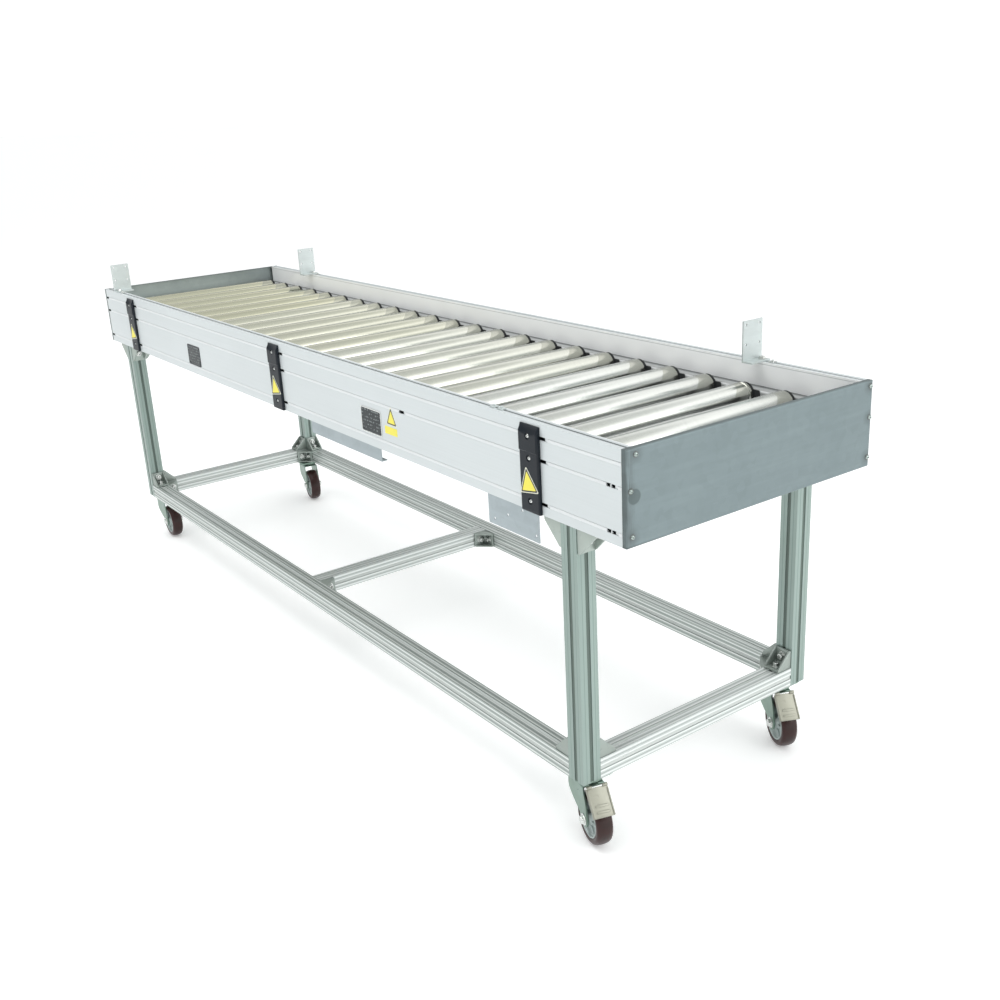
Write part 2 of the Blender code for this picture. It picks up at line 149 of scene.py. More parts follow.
class Shape:
    """A mesh put together from closed bodies."""

    def __init__(self):
        self.mesh = bmesh.new()

    def take(self, body, place=HERE, bevel=0.0, steps=2):
        bmesh.ops.recalc_face_normals(body, faces=body.faces[:])
        if bevel:
            sharp = [edge for edge in body.edges if edge.calc_face_angle(0) > math.radians(28)]
            bmesh.ops.bevel(body, geom=sharp, offset=bevel, segments=steps, profile=0.5,
                            affect="EDGES", clamp_overlap=True)
        if body.calc_volume(signed=True) < 0:
            bmesh.ops.reverse_faces(body, faces=body.faces[:])
        body.transform(place)
        scratch = bpy.data.meshes.new("scratch")
        body.to_mesh(scratch)
        body.free()
        self.mesh.from_mesh(scratch)
        bpy.data.meshes.remove(scratch)
        return self

    def lathe(self, profile, place=HERE, sides=40, ring=False):
        """A profile of (radius, height) turned about Z. A third value makes that ring a hexagon."""
        body = bmesh.new()
        rings = []
        for radius, height, *hexed in profile:
            if radius == 0:
                rings.append([body.verts.new((0, 0, height))])
                continue
            points = []
            for side in range(sides):
                angle = math.tau * side / sides
                reach = radius
                if hexed:
                    reach = radius / math.cos((angle + math.pi / 6) % (math.pi / 3) - math.pi / 6)
                points.append(body.verts.new((reach * math.cos(angle), reach * math.sin(angle), height)))
            rings.append(points)
        pairs = list(zip(rings, rings[1:]))
        if ring:
            pairs.append((rings[-1], rings[0]))
        for lower, upper in pairs:
            for side in range(sides):
                after = (side + 1) % sides
                corners = [lower[side % len(lower)], lower[after % len(lower)],
                           upper[after % len(upper)], upper[side % len(upper)]]
                body.faces.new(dict.fromkeys(corners))
        return self.take(body, place)

    def prism(self, outline, axis, start, end, place=HERE, bevel=0.0, steps=2, holes=()):
        """A flat outline, with any holes, drawn out along an axis."""
        across = [side for side in (X, Y, Z) if side != axis]
        body = bmesh.new()
        for loop in (outline, *holes):
            corners = []
            for point in loop:
                spot = Vector((0, 0, 0))
                spot[across[0]], spot[across[1]], spot[axis] = point[0], point[1], start
                corners.append(body.verts.new(spot))
            if holes:
                for corner, following in zip(corners, corners[1:] + corners[:1]):
                    body.edges.new((corner, following))
            else:
                body.faces.new(corners)
        if holes:
            bmesh.ops.triangle_fill(body, use_beauty=True, edges=body.edges[:])
        drawn = bmesh.ops.extrude_face_region(body, geom=body.faces[:])["geom"]
        along = Vector((0, 0, 0))
        along[axis] = end - start
        bmesh.ops.translate(body, verts=[v for v in drawn if isinstance(v, bmesh.types.BMVert)], vec=along)
        return self.take(body, place, bevel, steps)

    def block(self, low, high, place=HERE, bevel=0.0, steps=2):
        outline = [(low[0], low[1]), (high[0], low[1]), (high[0], high[1]), (low[0], high[1])]
        return self.prism(outline, Z, low[2], high[2], place, bevel, steps)

    def relief(self, columns, rows, front, place=HERE):
        """A slab on the XZ plane whose face stands out along -Y by front(x, z)."""
        body = bmesh.new()
        grid = [[body.verts.new((x, -front(x, z), z)) for x in columns] for z in rows]
        back = [[body.verts.new((x, 0, z)) for x in (columns[0], columns[-1])] for z in (rows[0], rows[-1])]
        for low, high in zip(grid, grid[1:]):
            for a, b, c, d in zip(low, low[1:], high[1:], high):
                body.faces.new((a, b, c, d))
        body.faces.new((back[0][0], back[0][1], back[1][1], back[1][0]))
        body.faces.new(grid[0] + [back[0][1], back[0][0]])
        body.faces.new(grid[-1] + [back[1][1], back[1][0]])
        body.faces.new([row[0] for row in grid] + [back[1][0], back[0][0]])
        body.faces.new([row[-1] for row in grid] + [back[1][1], back[0][1]])
        return self.take(body, place)

    def data(self, name):
        mesh = bpy.data.meshes.new(name)
        self.mesh.to_mesh(mesh)
        self.mesh.free()
        mesh.shade_smooth()
        mesh.set_sharp_from_angle(angle=math.radians(35))
        return mesh


def piece(name, mesh, body, material, place=HERE, stands_for=()):
    """A finished piece, riding on a body of the frame."""
    if isinstance(mesh, Shape):
        mesh = mesh.data(name)
    made = bpy.data.objects.new(name, mesh)
    bpy.context.scene.collection.objects.link(made)
    made.matrix_world = place
    if not mesh.materials:
        mesh.materials.append(material)
    elif mesh.materials[0] is not material:
        made.material_slots[0].link = "OBJECT"
        made.material_slots[0].material = material
    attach(made, body)
    if stands_for:
        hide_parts(*stands_for)
    return made


def boolean_mesh(name, first, second, operation):
    """The mesh of one shape cut by, or kept inside, another."""
    objects = []
    for label, shape in (("first", first), ("second", second)):
        thing = bpy.data.objects.new(f"{name}_{label}", shape.data(f"{name}_{label}"))
        bpy.context.scene.collection.objects.link(thing)
        objects.append(thing)
    modifier = objects[0].modifiers.new("cut", "BOOLEAN")
    modifier.operation = operation
    modifier.solver = "EXACT"
    modifier.object = objects[1]
    bpy.context.view_layer.update()
    evaluated = objects[0].evaluated_get(bpy.context.evaluated_depsgraph_get())
    mesh = bpy.data.meshes.new_from_object(evaluated)
    for thing in objects:
        bpy.data.objects.remove(thing)
    mesh.shade_smooth()
    mesh.set_sharp_from_angle(angle=math.radians(35))
    mesh.name = name
    return mesh


def soften(thing, width, steps=2, angle=40):
    """A small round on an object's sharp edges."""
    modifier = thing.modifiers.new("edge_round", "BEVEL")
    modifier.width = width
    modifier.segments = steps
    modifier.limit_method = "ANGLE"
    modifier.angle_limit = math.radians(angle)
    modifier.harden_normals = False
    thing.data.shade_smooth()
    thing.data.set_sharp_from_angle(angle=math.radians(30))


# ---------------------------------------------------------------- fasteners


def button_screw(shape, place, radius=0.0045, height=0.0026):
    """A round-headed screw with a hexagon socket, standing along the placing's Z."""
    profile = [(0, -0.001), (radius, -0.001), (radius, 0.0004)]
    for step in range(1, 6):
        angle = math.radians(15 * step)
        profile.append((radius * math.cos(angle) * 0.98 + 0.0001, height * math.sin(angle)))
    profile += [(radius * 0.50, height), (radius * 0.46, height - 0.0002, True),
                (radius * 0.44, height * 0.35, True), (0, height * 0.30)]
    shape.lathe(profile, place, 30)


def cap_screw(shape, place, radius=0.0065, height=0.008):
    """A socket cap screw on a washer."""
    washer = [(radius * 0.5, 0), (radius * 1.45, 0), (radius * 1.5, 0.0003), (radius * 1.5, 0.0012),
              (radius * 1.45, 0.0015), (radius * 0.5, 0.0015)]
    shape.lathe(washer, place, 30, ring=True)
    head = [(0, 0.0012), (radius, 0.0012), (radius, height - 0.0008), (radius - 0.0008, height),
            (radius * 0.62, height), (radius * 0.58, height - 0.0003, True),
            (radius * 0.56, height * 0.45, True), (0, height * 0.40)]
    shape.lathe(head, place, 30)


def hex_screw(shape, place, radius=0.0065, height=0.0048, washer=True):
    """A hexagon head on a washer, with chamfered corners."""
    base = 0.0
    if washer:
        ring = [(radius * 0.5, 0), (radius * 1.5, 0), (radius * 1.55, 0.0003), (radius * 1.55, 0.0011),
                (radius * 1.5, 0.0014), (radius * 0.5, 0.0014)]
        shape.lathe(ring, place, 36, ring=True)
        base = 0.0013
    head = [(0, base), (radius, base, True), (radius, base + height * 0.85, True),
            (radius * 0.97, base + height), (0, base + height)]
    shape.lathe(head, place, 36)


# ---------------------------------------------------------------- materials


class Finish:
    """A node material under construction. Its coordinates are the object's own, in metres."""

    def __init__(self, name, colour, roughness, metallic):
        self.material = bpy.data.materials.new(name)
        self.material.use_nodes = True
        self.tree = self.material.node_tree
        self.shader = self.tree.nodes["Principled BSDF"]
        self.shader.inputs["Metallic"].default_value = metallic
        self.place = self.node("ShaderNodeTexCoord").outputs["Object"]
        self.colour = self.colour_of(colour)
        self.roughness = roughness
        self.height = None

    @staticmethod
    def colour_of(colour):
        if isinstance(colour, bpy.types.NodeSocket):
            return colour
        return (*colour[:3], 1.0)

    def node(self, kind, inputs=None, **settings):
        made = self.tree.nodes.new(kind)
        for key, value in settings.items():
            setattr(made, key, value)
        for key, value in (inputs or {}).items():
            self.feed(made.inputs[key], value)
        return made

    def feed(self, socket, value):
        if isinstance(value, bpy.types.NodeSocket):
            self.tree.links.new(value, socket)
        else:
            socket.default_value = value

    def maths(self, operation, first, second=0.0, clamp=False):
        made = self.node("ShaderNodeMath", {0: first, 1: second}, operation=operation, use_clamp=clamp)
        return made.outputs[0]

    def product(self, first, *others):
        """All the values multiplied together."""
        for other in others:
            first = self.maths("MULTIPLY", first, other)
        return first

    def span(self, value, low, high, start=0.0, end=1.0):
        """value, taken from low..high to start..end, and held there outside."""
        inputs = {"Value": value, "From Min": low, "From Max": high, "To Min": start, "To Max": end}
        return self.node("ShaderNodeMapRange", inputs).outputs["Result"]

    def near(self, value, middle, reach):
        """1 where value is within reach of middle, falling quickly to 0 outside."""
        away = self.maths("ABSOLUTE", self.maths("SUBTRACT", value, middle))
        return self.span(away, reach, reach * 1.5, 1.0, 0.0)

    def coordinate(self, axis):
        return self.node("ShaderNodeSeparateXYZ", {0: self.place}).outputs[axis]

    def noise(self, scale, stretch=(1, 1, 1), detail=3.0, rough=0.5):
        stretched = self.node("ShaderNodeVectorMath", {0: self.place, 1: stretch}, operation="MULTIPLY")
        inputs = {"Vector": stretched.outputs[0], "Scale": scale, "Detail": detail, "Roughness": rough}
        return self.node("ShaderNodeTexNoise", inputs).outputs["Fac"]

    def cells(self, scale, stretch=(1, 1, 1)):
        stretched = self.node("ShaderNodeVectorMath", {0: self.place, 1: stretch}, operation="MULTIPLY")
        made = self.node("ShaderNodeTexVoronoi", {"Vector": stretched.outputs[0], "Scale": scale})
        return self.node("ShaderNodeSeparateColor", {0: made.outputs["Color"]}).outputs[0]

    def blend(self, factor, colour):
        """Lays a colour over what is there."""
        mix = self.node("ShaderNodeMix", data_type="RGBA")
        self.feed(mix.inputs[0], factor)
        self.feed(mix.inputs[6], self.colour)
        self.feed(mix.inputs[7], self.colour_of(colour))
        self.colour = mix.outputs[2]

    def shift_roughness(self, value, low, high):
        self.roughness = self.span(value, 0.25, 0.75, low, high)

    def bump(self, height, distance):
        """Adds a relief of that many metres."""
        scaled = self.maths("MULTIPLY", height, distance)
        self.height = scaled if self.height is None else self.maths("ADD", self.height, scaled)

    def done(self):
        self.feed(self.shader.inputs["Base Color"], self.colour)
        self.feed(self.shader.inputs["Roughness"], self.roughness)
        if self.height is not None:
            bump = self.node("ShaderNodeBump", {"Height": self.height, "Distance": 1.0, "Strength": 1.0})
            self.feed(self.shader.inputs["Normal"], bump.outputs[0])
        return self.material


def shaded(colour, factor):
    """The colour made darker, or lighter where the factor is above 1."""
    return tuple(part * factor for part in colour)


def stretched_along(axis, along=1.0, across=150.0):
    return tuple(along if side == axis else across for side in (X, Y, Z))


def extruded(name, colour, axis, roughness=(0.28, 0.42), metallic=0.55, streak=0.10):
    """Anodised extrusion: fine die lines along an axis, and broad soft patches."""
    finish = Finish(name, colour, roughness[0], metallic)
    lines = finish.noise(2.0, stretched_along(axis, 0.5, 220.0), 4.0, 0.65)
    finish.blend(finish.span(lines, 0.42, 0.62, 0.0, 0.5), shaded(colour, 1 - 2.2 * streak))
    patches = finish.noise(5.0, stretched_along(axis, 0.35, 1.0), 3.0)
    finish.blend(finish.span(patches, 0.45, 0.75, 0.0, 0.30), shaded(colour, 0.88))
    finish.shift_roughness(patches, *roughness)
    finish.bump(lines, 0.00005)
    return finish


def rail_material():
    """Near-white anodised rail with thin lines drawn along it, its inner faces painted lighter, and painted
    shade inside its T grooves, under and on its ledge, at the foot of its upper wall and just under its top
    edge.
    """
    finish = extruded("rail_anodised", (0.650, 0.694, 0.704), X, (0.30, 0.42), 0.15, 0.02)
    height = finish.coordinate(Z)
    out = finish.maths("ABSOLUTE", finish.maths("SUBTRACT", finish.coordinate(Y), MID_Y))
    depth = finish.maths("SUBTRACT", RAIL_OUTER, out)
    # Painted light: the inner faces are made lighter.
    finish.blend(finish.span(depth, WALL_THICKNESS - 0.0015, WALL_THICKNESS - 0.0003), (0.96, 0.97, 0.975))
    # Painted shade inside the outer T grooves.
    in_groove = finish.span(depth, 0.0012, 0.0030)
    before_wall = finish.span(depth, WALL_THICKNESS - 0.0030, WALL_THICKNESS - 0.0015, 1.0, 0.0)
    below_top = finish.span(height, RAIL_TOP - 0.0030, RAIL_TOP - 0.0015, 1.0, 0.0)
    finish.blend(finish.product(in_groove, before_wall, below_top), (0.035, 0.045, 0.05))
    # Painted shade on the inner face below the ledge.
    inner_side = finish.span(depth, RAIL_THICKNESS - 0.0010, RAIL_THICKNESS - 0.0004)
    under_ledge = finish.span(height, LEDGE_TOP - 0.0060, LEDGE_TOP - 0.0025, 0.80, 0.0)
    finish.blend(finish.product(inner_side, under_ledge), (0.17, 0.18, 0.175))
    # Painted shade on the ledge's top face.
    on_ledge = finish.near(height, LEDGE_TOP, 0.0006)
    past_wall = finish.span(depth, WALL_THICKNESS - 0.0010, WALL_THICKNESS, 0.0, 0.8)
    finish.blend(finish.product(on_ledge, past_wall), (0.30, 0.31, 0.31))
    # Painted shadow on the ledge along the foot of the upper wall.
    foot = finish.near(out, UPPER_WALL - 0.0035, 0.0040)
    finish.blend(finish.product(on_ledge, foot, 0.75), (0.10, 0.11, 0.11))
    # Painted shade in a thin band on the inner face just under the top edge.
    inner_face = finish.near(out, UPPER_WALL, 0.0006)
    under_edge = finish.near(height, RAIL_TOP - 0.0042, 0.0008)
    finish.blend(finish.product(inner_face, under_edge, 0.45), (0.35, 0.37, 0.38))
    top_face = finish.span(height, RAIL_TOP - 0.0010, RAIL_TOP - 0.0004)
    for inset in (0.0058, 0.0172):
        score = finish.near(depth, inset, 0.0005)
        finish.blend(finish.product(top_face, score, 0.40), (0.35, 0.37, 0.38))
    return finish.done()


def profile_material(node, axis, colour, groove, groove_shade):
    """Satin profile with painted shade down in its grooves, and fine lines along its faces."""
    finish = extruded(f"profile_{node}", colour, axis, (0.26, 0.40), 0.35 if axis == Z else 0.60, 0.06)
    low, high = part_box(node)
    reaches = []
    for side in (X, Y, Z):
        if side != axis:
            middle = (low[side] + high[side]) / 2
            away = finish.maths("SUBTRACT", finish.coordinate(side), middle)
            reaches.append(finish.maths("ABSOLUTE", away))
    reach = finish.maths("MAXIMUM", *reaches)
    # Painted shade down in the grooves, as strong as the dress asks.
    finish.blend(finish.span(reach, PROFILE / 2 - 0.0055, PROFILE / 2 - 0.001, groove_shade, 0.0), groove)
    for away in reaches:
        finish.blend(finish.product(finish.near(away, SCORE_OUT, 0.0006), 0.45), groove)
        # Painted highlight lines along the faces of beams and cross beams.
        if axis != Z:
            for highlight_line in HIGHLIGHT_LINES_OUT:
                line = finish.near(away, highlight_line, 0.0012)
                finish.blend(finish.product(line, 0.65), (0.90, 0.93, 0.91))
    return finish.done()


def darken_round(finish, spot, wobble, reach, strength, colour):
    """Darkens a round patch with an uneven edge, fading out between the two ends of reach."""
    away = finish.node("ShaderNodeVectorMath", {0: finish.place, 1: spot}, operation="DISTANCE")
    uneven = finish.maths("ADD", away.outputs["Value"], wobble)
    finish.blend(finish.span(uneven, *reach, strength, 0.0), colour)


def darken_end_plate(finish, smears):
    """Darker patches round the screws, a darker ragged band down the near edge, one darker patch below a
    screw, darker towards the lower edge, and darker on the folds.
    """
    for spot in SCREW_SPOTS:
        wobble = finish.maths("MULTIPLY", smears, 0.030)
        darken_round(finish, spot, wobble, (0.016, 0.034), 0.60, (0.09, 0.105, 0.105))
    inward = finish.maths("SUBTRACT", RAIL_OUTER, finish.maths("SUBTRACT", MID_Y, finish.coordinate(Y)))
    down_streaks = finish.noise(1.0, (1.0, 260.0, 14.0), 4.0, 0.65)
    ragged = finish.maths("ADD", inward, finish.maths("MULTIPLY", down_streaks, 0.020))
    band = finish.span(ragged, 0.010, 0.030, 0.80, 0.0)
    finish.blend(finish.product(band, finish.span(down_streaks, 0.35, 0.62)), (0.085, 0.10, 0.098))
    for end in (-1, 1):
        spot = (end * PLATE_FACE, MID_Y - RAIL_OUTER + 0.0155, RAIL_BOTTOM + 0.083)
        wobble = finish.maths("MULTIPLY", smears, 0.012)
        darken_round(finish, spot, wobble, (0.0185, 0.0205), 0.70, (0.085, 0.110, 0.110))
    bottom = finish.span(finish.coordinate(Z), RAIL_BOTTOM + 0.0010, RAIL_BOTTOM + 0.0045, 0.65, 0.0)
    near_corner = finish.span(inward, 0.03, 0.15, 1.0, 0.0)
    finish.blend(finish.product(bottom, near_corner), (0.07, 0.09, 0.09))
    along = finish.maths("ABSOLUTE", finish.coordinate(X))
    folded = finish.span(along, PLATE_FACE - 0.0035, PLATE_FACE - 0.0015, 0.60, 0.0)
    finish.blend(folded, (0.10, 0.125, 0.125))


def sheet_material(name, colour, metallic=0.65, dark_marks=False):
    """Galvanised sheet: faint spangle and rolled streaks, with an end plate's darker marks where they are
    asked for.
    """
    finish = Finish(name, colour, 0.45, metallic)
    spangle = finish.cells(70.0)
    finish.blend(finish.span(spangle, 0.0, 1.0, 0.0, 0.22), shaded(colour, 0.72))
    streaks = finish.noise(3.0, (1.0, 1.4, 22.0), 5.0, 0.6)
    finish.blend(finish.span(streaks, 0.45, 0.75, 0.0, 0.30), shaded(colour, 1.28))
    smears = finish.noise(9.0, (1, 1, 0.5), 4.0, 0.6)
    if dark_marks:
        darken_end_plate(finish, smears)
    finish.shift_roughness(smears, 0.36, 0.56)
    finish.bump(spangle, 0.00002)
    finish.bump(finish.noise(60.0), 0.00006)
    return finish.done()


def plated_material(name, colour, roughness=(0.22, 0.40), metallic=0.95, tint=(0.45, 0.50, 0.30)):
    """Zinc plate with a faint uneven tint and fine pitting."""
    finish = Finish(name, colour, 0.3, metallic)
    cloud = finish.noise(30.0, (1, 1, 1), 4.0, 0.6)
    finish.blend(finish.span(cloud, 0.42, 0.70, 0.0, 0.28), tint)
    grime = finish.noise(90.0, (1, 1, 1), 5.0, 0.7)
    finish.blend(finish.span(grime, 0.56, 0.75, 0.0, 0.45), shaded(colour, 0.5))
    finish.shift_roughness(cloud, *roughness)
    finish.bump(grime, 0.00008)
    return finish.done()


def roller_material(name, warm_reflection):
    """Bright zinc tube: rings from turning, faint smears, a painted warm reflection, a painted dark
    reflection near the ends, and painted shade and dark reflection on the underside.
    """
    finish = Finish(name, (0.66, 0.68, 0.67), 0.2, 0.95)
    # Painted warm reflection, by the amount given.
    finish.blend(warm_reflection, (0.53, 0.515, 0.34))
    rings = finish.noise(1.0, (12.0, 700.0, 12.0), 3.0, 0.6)
    finish.blend(finish.span(rings, 0.45, 0.65, 0.0, 0.15), (0.44, 0.45, 0.42))
    smears = finish.noise(9.0, (1.5, 0.35, 1.5), 3.0, 0.5)
    finish.blend(finish.span(smears, 0.52, 0.72, 0.0, 0.20), (0.50, 0.49, 0.41))
    # Painted dark reflection near each end, its edge slanting down towards the end.
    along = finish.maths("ABSOLUTE", finish.coordinate(Y))
    down = finish.maths("MAXIMUM", finish.maths("SUBTRACT", 0.023, finish.coordinate(Z)), 0.0)
    slanted = finish.maths("ADD", along, finish.maths("MULTIPLY", down, 1.1))
    painted_end_reflection = finish.span(slanted, ROLLER_HALF - 0.034, ROLLER_HALF - 0.031, 0.0, 0.70)
    finish.blend(painted_end_reflection, (0.38, 0.385, 0.33))
    # Painted shade and dark reflection on the tube's lower side.
    painted_underside_shade = finish.span(finish.coordinate(Z), 0.0005, 0.0075, 0.75, 0.0)
    finish.blend(painted_underside_shade, (0.27, 0.28, 0.275))
    finish.shift_roughness(smears, 0.15, 0.24)
    finish.bump(rings, 0.000006)
    return finish.done()


def moulded_material(name, colour, roughness=(0.38, 0.55), grain=900.0, dust=0.06, specular=0.5):
    """Moulded plastic with a fine grain and a little dust."""
    finish = Finish(name, colour, 0.45, 0.0)
    finish.shader.inputs["Specular IOR Level"].default_value = specular
    patches = finish.noise(25.0, (1, 1, 1), 4.0, 0.6)
    dusty = tuple(part * 0.7 + dust for part in colour)
    finish.blend(finish.span(patches, 0.45, 0.75, 0.0, 0.6), dusty)
    finish.shift_roughness(patches, *roughness)
    finish.bump(finish.cells(grain), 0.00003)
    finish.bump(patches, 0.00005)
    return finish.done()


def tread_material():
    """Maroon polyurethane: glossy, with a dusty, scuffed running face."""
    finish = Finish("wheel_polyurethane", (0.030, 0.0055, 0.0045), 0.3, 0.0)
    across = finish.maths("ABSOLUTE", finish.coordinate(Y))
    face = finish.span(across, 0.008, 0.014, 1.0, 0.0)
    scuffs = finish.noise(45.0, (1, 0.4, 1), 5.0, 0.7)
    dusty = finish.product(face, finish.span(scuffs, 0.35, 0.70, 0.10, 0.70))
    finish.blend(dusty, (0.012, 0.008, 0.006))
    finish.shift_roughness(scuffs, 0.22, 0.48)
    finish.shader.inputs["Coat Weight"].default_value = 0.15
    finish.shader.inputs["Specular IOR Level"].default_value = 0.3
    finish.bump(scuffs, 0.00015)
    return finish.done()


def label_material(name, colour, edge):
    """Printed film: slight mottling and worn spots."""
    finish = Finish(name, colour, 0.4, 0.0)
    wear = finish.noise(120.0, (1, 1, 1), 4.0, 0.7)
    finish.blend(finish.span(wear, 0.58, 0.72, 0.0, 0.35), edge)
    finish.shift_roughness(wear, 0.30, 0.50)
    finish.bump(wear, 0.00002)
    return finish.done()


def plate_material():
    """A dark rating plate with plain pale rules across it, broken up, that spell nothing."""
    finish = Finish("rating_plate", (0.018, 0.025, 0.028), 0.35, 0.0)
    finish.shader.inputs["Specular IOR Level"].default_value = 0.3
    rows = finish.maths("FRACT", finish.maths("MULTIPLY", finish.coordinate(Z), 130.0))
    rule = finish.maths("GREATER_THAN", rows, 0.60)
    pieces = finish.noise(1.0, (160.0, 1.0, 130.0), 1.0, 0.4)
    broken = finish.maths("GREATER_THAN", pieces, 0.52)
    finish.blend(finish.product(rule, broken, 0.40), (0.36, 0.41, 0.41))
    wear = finish.noise(60.0)
    finish.shift_roughness(wear, 0.25, 0.45)
    return finish.done()


def floor_material():
    finish = Finish("studio_floor", (0.93, 0.935, 0.935), 0.6, 0.0)
    finish.shader.inputs["Emission Color"].default_value = (1, 1, 1, 1)
    finish.shader.inputs["Emission Strength"].default_value = 0.24
    patches = finish.noise(0.8)
    finish.blend(finish.span(patches, 0.4, 0.7, 0.0, 0.15), (0.90, 0.905, 0.91))
    return finish.done()


RAIL = rail_material()
SHEET = sheet_material("end_sheet_galvanised", (0.198, 0.247, 0.257), dark_marks=True)
# The left plate's sheet: a copy of the end sheet painted lighter, standing in for light on the left plate.
LIGHTER_LEFT_SHEET = sheet_material("end_sheet_left_painted_light", (0.36, 0.41, 0.41), dark_marks=True)
BRACKET = sheet_material("bracket_sheet_pale", (0.56, 0.61, 0.605), 0.45)
COVER = sheet_material("hanging_sheet_grey", (0.425, 0.485, 0.51), 0.45)
# Each six rollers get less of the painted warm reflection than the six before.
ROLLERS = [roller_material(f"roller_zinc_{number + 1}", 0.75 - 0.21 * number) for number in range(4)]
PLATED = plated_material("caster_zinc", (0.22, 0.31, 0.265), (0.25, 0.42), 0.75, (0.25, 0.33, 0.22))
PEDAL = plated_material("pedal_zinc", (0.33, 0.33, 0.275), (0.32, 0.46), 0.60, (0.30, 0.30, 0.235))
STEEL = plated_material("fastener_zinc", (0.66, 0.68, 0.67), (0.18, 0.30), 1.0, (0.60, 0.60, 0.52))
# Dark rings round the end plate screws: painted shade at the heads' edges.
SCREW_SHADE_RING = plated_material("screw_rim_painted_shade", (0.16, 0.17, 0.17), (0.30, 0.45), 0.9, (0.12, 0.12, 0.10))
SCREW = plated_material("plate_screw_zinc", (0.38, 0.44, 0.42), (0.18, 0.32), 0.95, (0.30, 0.35, 0.31))
CASTING = plated_material("bracket_casting", (0.33, 0.375, 0.35), (0.35, 0.50), 0.60, (0.38, 0.41, 0.37))
PALE_CASTING = plated_material("bracket_casting_pale", (0.42, 0.475, 0.44), (0.40, 0.55), 0.55,
                               (0.46, 0.50, 0.46))
HUB = plated_material("hub_grey", (0.44, 0.50, 0.49), (0.30, 0.45), 0.45, (0.40, 0.46, 0.42))
TREAD = tread_material()
BLACK = moulded_material("black_moulding", (0.0085, 0.013, 0.019), (0.32, 0.48), 900.0, 0.010, 0.25)
SEAT = moulded_material("seat_black", (0.016, 0.018, 0.019), (0.40, 0.55), 900.0, 0.012, 0.25)
INFILL = moulded_material("groove_infill", (0.76, 0.79, 0.80), (0.40, 0.55), 700.0, 0.20)
LEG_INFILL = moulded_material("leg_infill", (0.090, 0.130, 0.110), (0.35, 0.50), 700.0, 0.03)
PROFILE_INFILL = moulded_material("profile_infill", (0.52, 0.56, 0.54), (0.35, 0.50), 700.0, 0.12)
YELLOW = label_material("label_yellow", (0.90, 0.80, 0.09), (0.74, 0.66, 0.24))
LABEL_DARK = label_material("label_black", (0.03, 0.03, 0.025), (0.10, 0.10, 0.08))
LABEL_PALE = label_material("label_margin", (0.80, 0.80, 0.66), (0.70, 0.70, 0.62))
RATING = plate_material()

# How each kind of profile is dressed: its name, axis, colour, colour of its painted groove shade and scores,
# how strong the painted groove shade, its edge
LEG_DRESS = ("leg_", Z, (0.295, 0.375, 0.345), (0.11, 0.16, 0.135), 0.60, 0.0010)
BEAM_DRESS = ("beam_", X, (0.40, 0.445, 0.425), (0.08, 0.11, 0.10), 0.65, 0.0013)
CROSS_DRESS = ("cross_beam", Y, (0.56, 0.60, 0.585), (0.09, 0.12, 0.11), 0.65, 0.0013)
TIE_DRESS = ("bed_tie", *CROSS_DRESS[1:])


# ---------------------------------------------------------------- the bed


def dress_cad():
    """Finishes for the CAD nodes that stay, and a small round on their edges."""
    for node in ("rail_near", "rail_far"):
        finish_node(node, RAIL, 0.0004)
    finish_node("end_plate_left", LIGHTER_LEFT_SHEET, 0.0)
    finish_node("end_plate_right", SHEET, 0.0)
    for node in CAD:
        if node.startswith("stop_bracket"):
            finish_node(node, BRACKET, 0.0004)
        elif node in ("wiring_cover", "junction_plate"):
            finish_node(node, COVER, 0.0003)
        for start, axis, colour, groove, groove_shade, edge in (LEG_DRESS, BEAM_DRESS, CROSS_DRESS, TIE_DRESS):
            if node.startswith(start):
                finish_node(node, profile_material(node, axis, colour, groove, groove_shade), edge)


def finish_node(node, material, edge):
    thing = CAD[node]
    thing.data.materials.clear()
    thing.data.materials.append(material)
    if edge:
        soften(thing, edge)


def roller_tube_meshes():
    """(plain, grooved): a tube with crimped ends, and one with a belt groove near its far end."""
    half, radius = ROLLER_HALF, ROLLER_RADIUS
    side = [(0.0080, -half + 0.0006), (0.0170, -half + 0.0006), (0.0176, -half + 0.0018),
            (0.0205, -half + 0.0018), (0.0212, -half + 0.0002), (radius - 0.0022, -half),
            (radius - 0.0006, -half + 0.0008), (radius, -half + 0.0030)]
    groove = [(radius, half - 0.0115), (radius - 0.0018, half - 0.0100), (radius - 0.0018, half - 0.0080),
              (radius, half - 0.0065)]
    plain = Shape().lathe(side + mirror_image(side), facing((0, 1, 0)), 72, ring=True)
    grooved = Shape().lathe(side + groove + mirror_image(side), facing((0, 1, 0)), 72, ring=True)
    return plain.data("roller_tube"), grooved.data("roller_tube_grooved")


def roller_seat_mesh():
    """A ribbed disc that fills the gap between roller and rail, and its wing along the rail."""
    gap = RAIL_INNER - ROLLER_HALF
    shape = Shape()
    disc = [(0.0080, -gap + 0.0008), (0.0215, -gap + 0.0008), (0.0228, -gap + 0.0020),
            (0.0235, -0.0012), (0.0235, 0), (0.0080, 0)]
    shape.lathe(disc, HERE, 48, ring=True)
    for step in range(6):
        turn = Matrix.Rotation(math.radians(60 * step), 4, "Z")
        shape.block((0.0100, -0.0012, -gap + 0.0004), (0.0205, 0.0012, -gap + 0.0014), turn, 0.0003)
    wing = rounded((-0.036, -0.030), (0.036, 0.0122), 0.003, 4)
    shape.prism(wing, Z, -0.0032, -0.0002, HERE, 0.0005, 2)
    return shape.data("roller_seat")


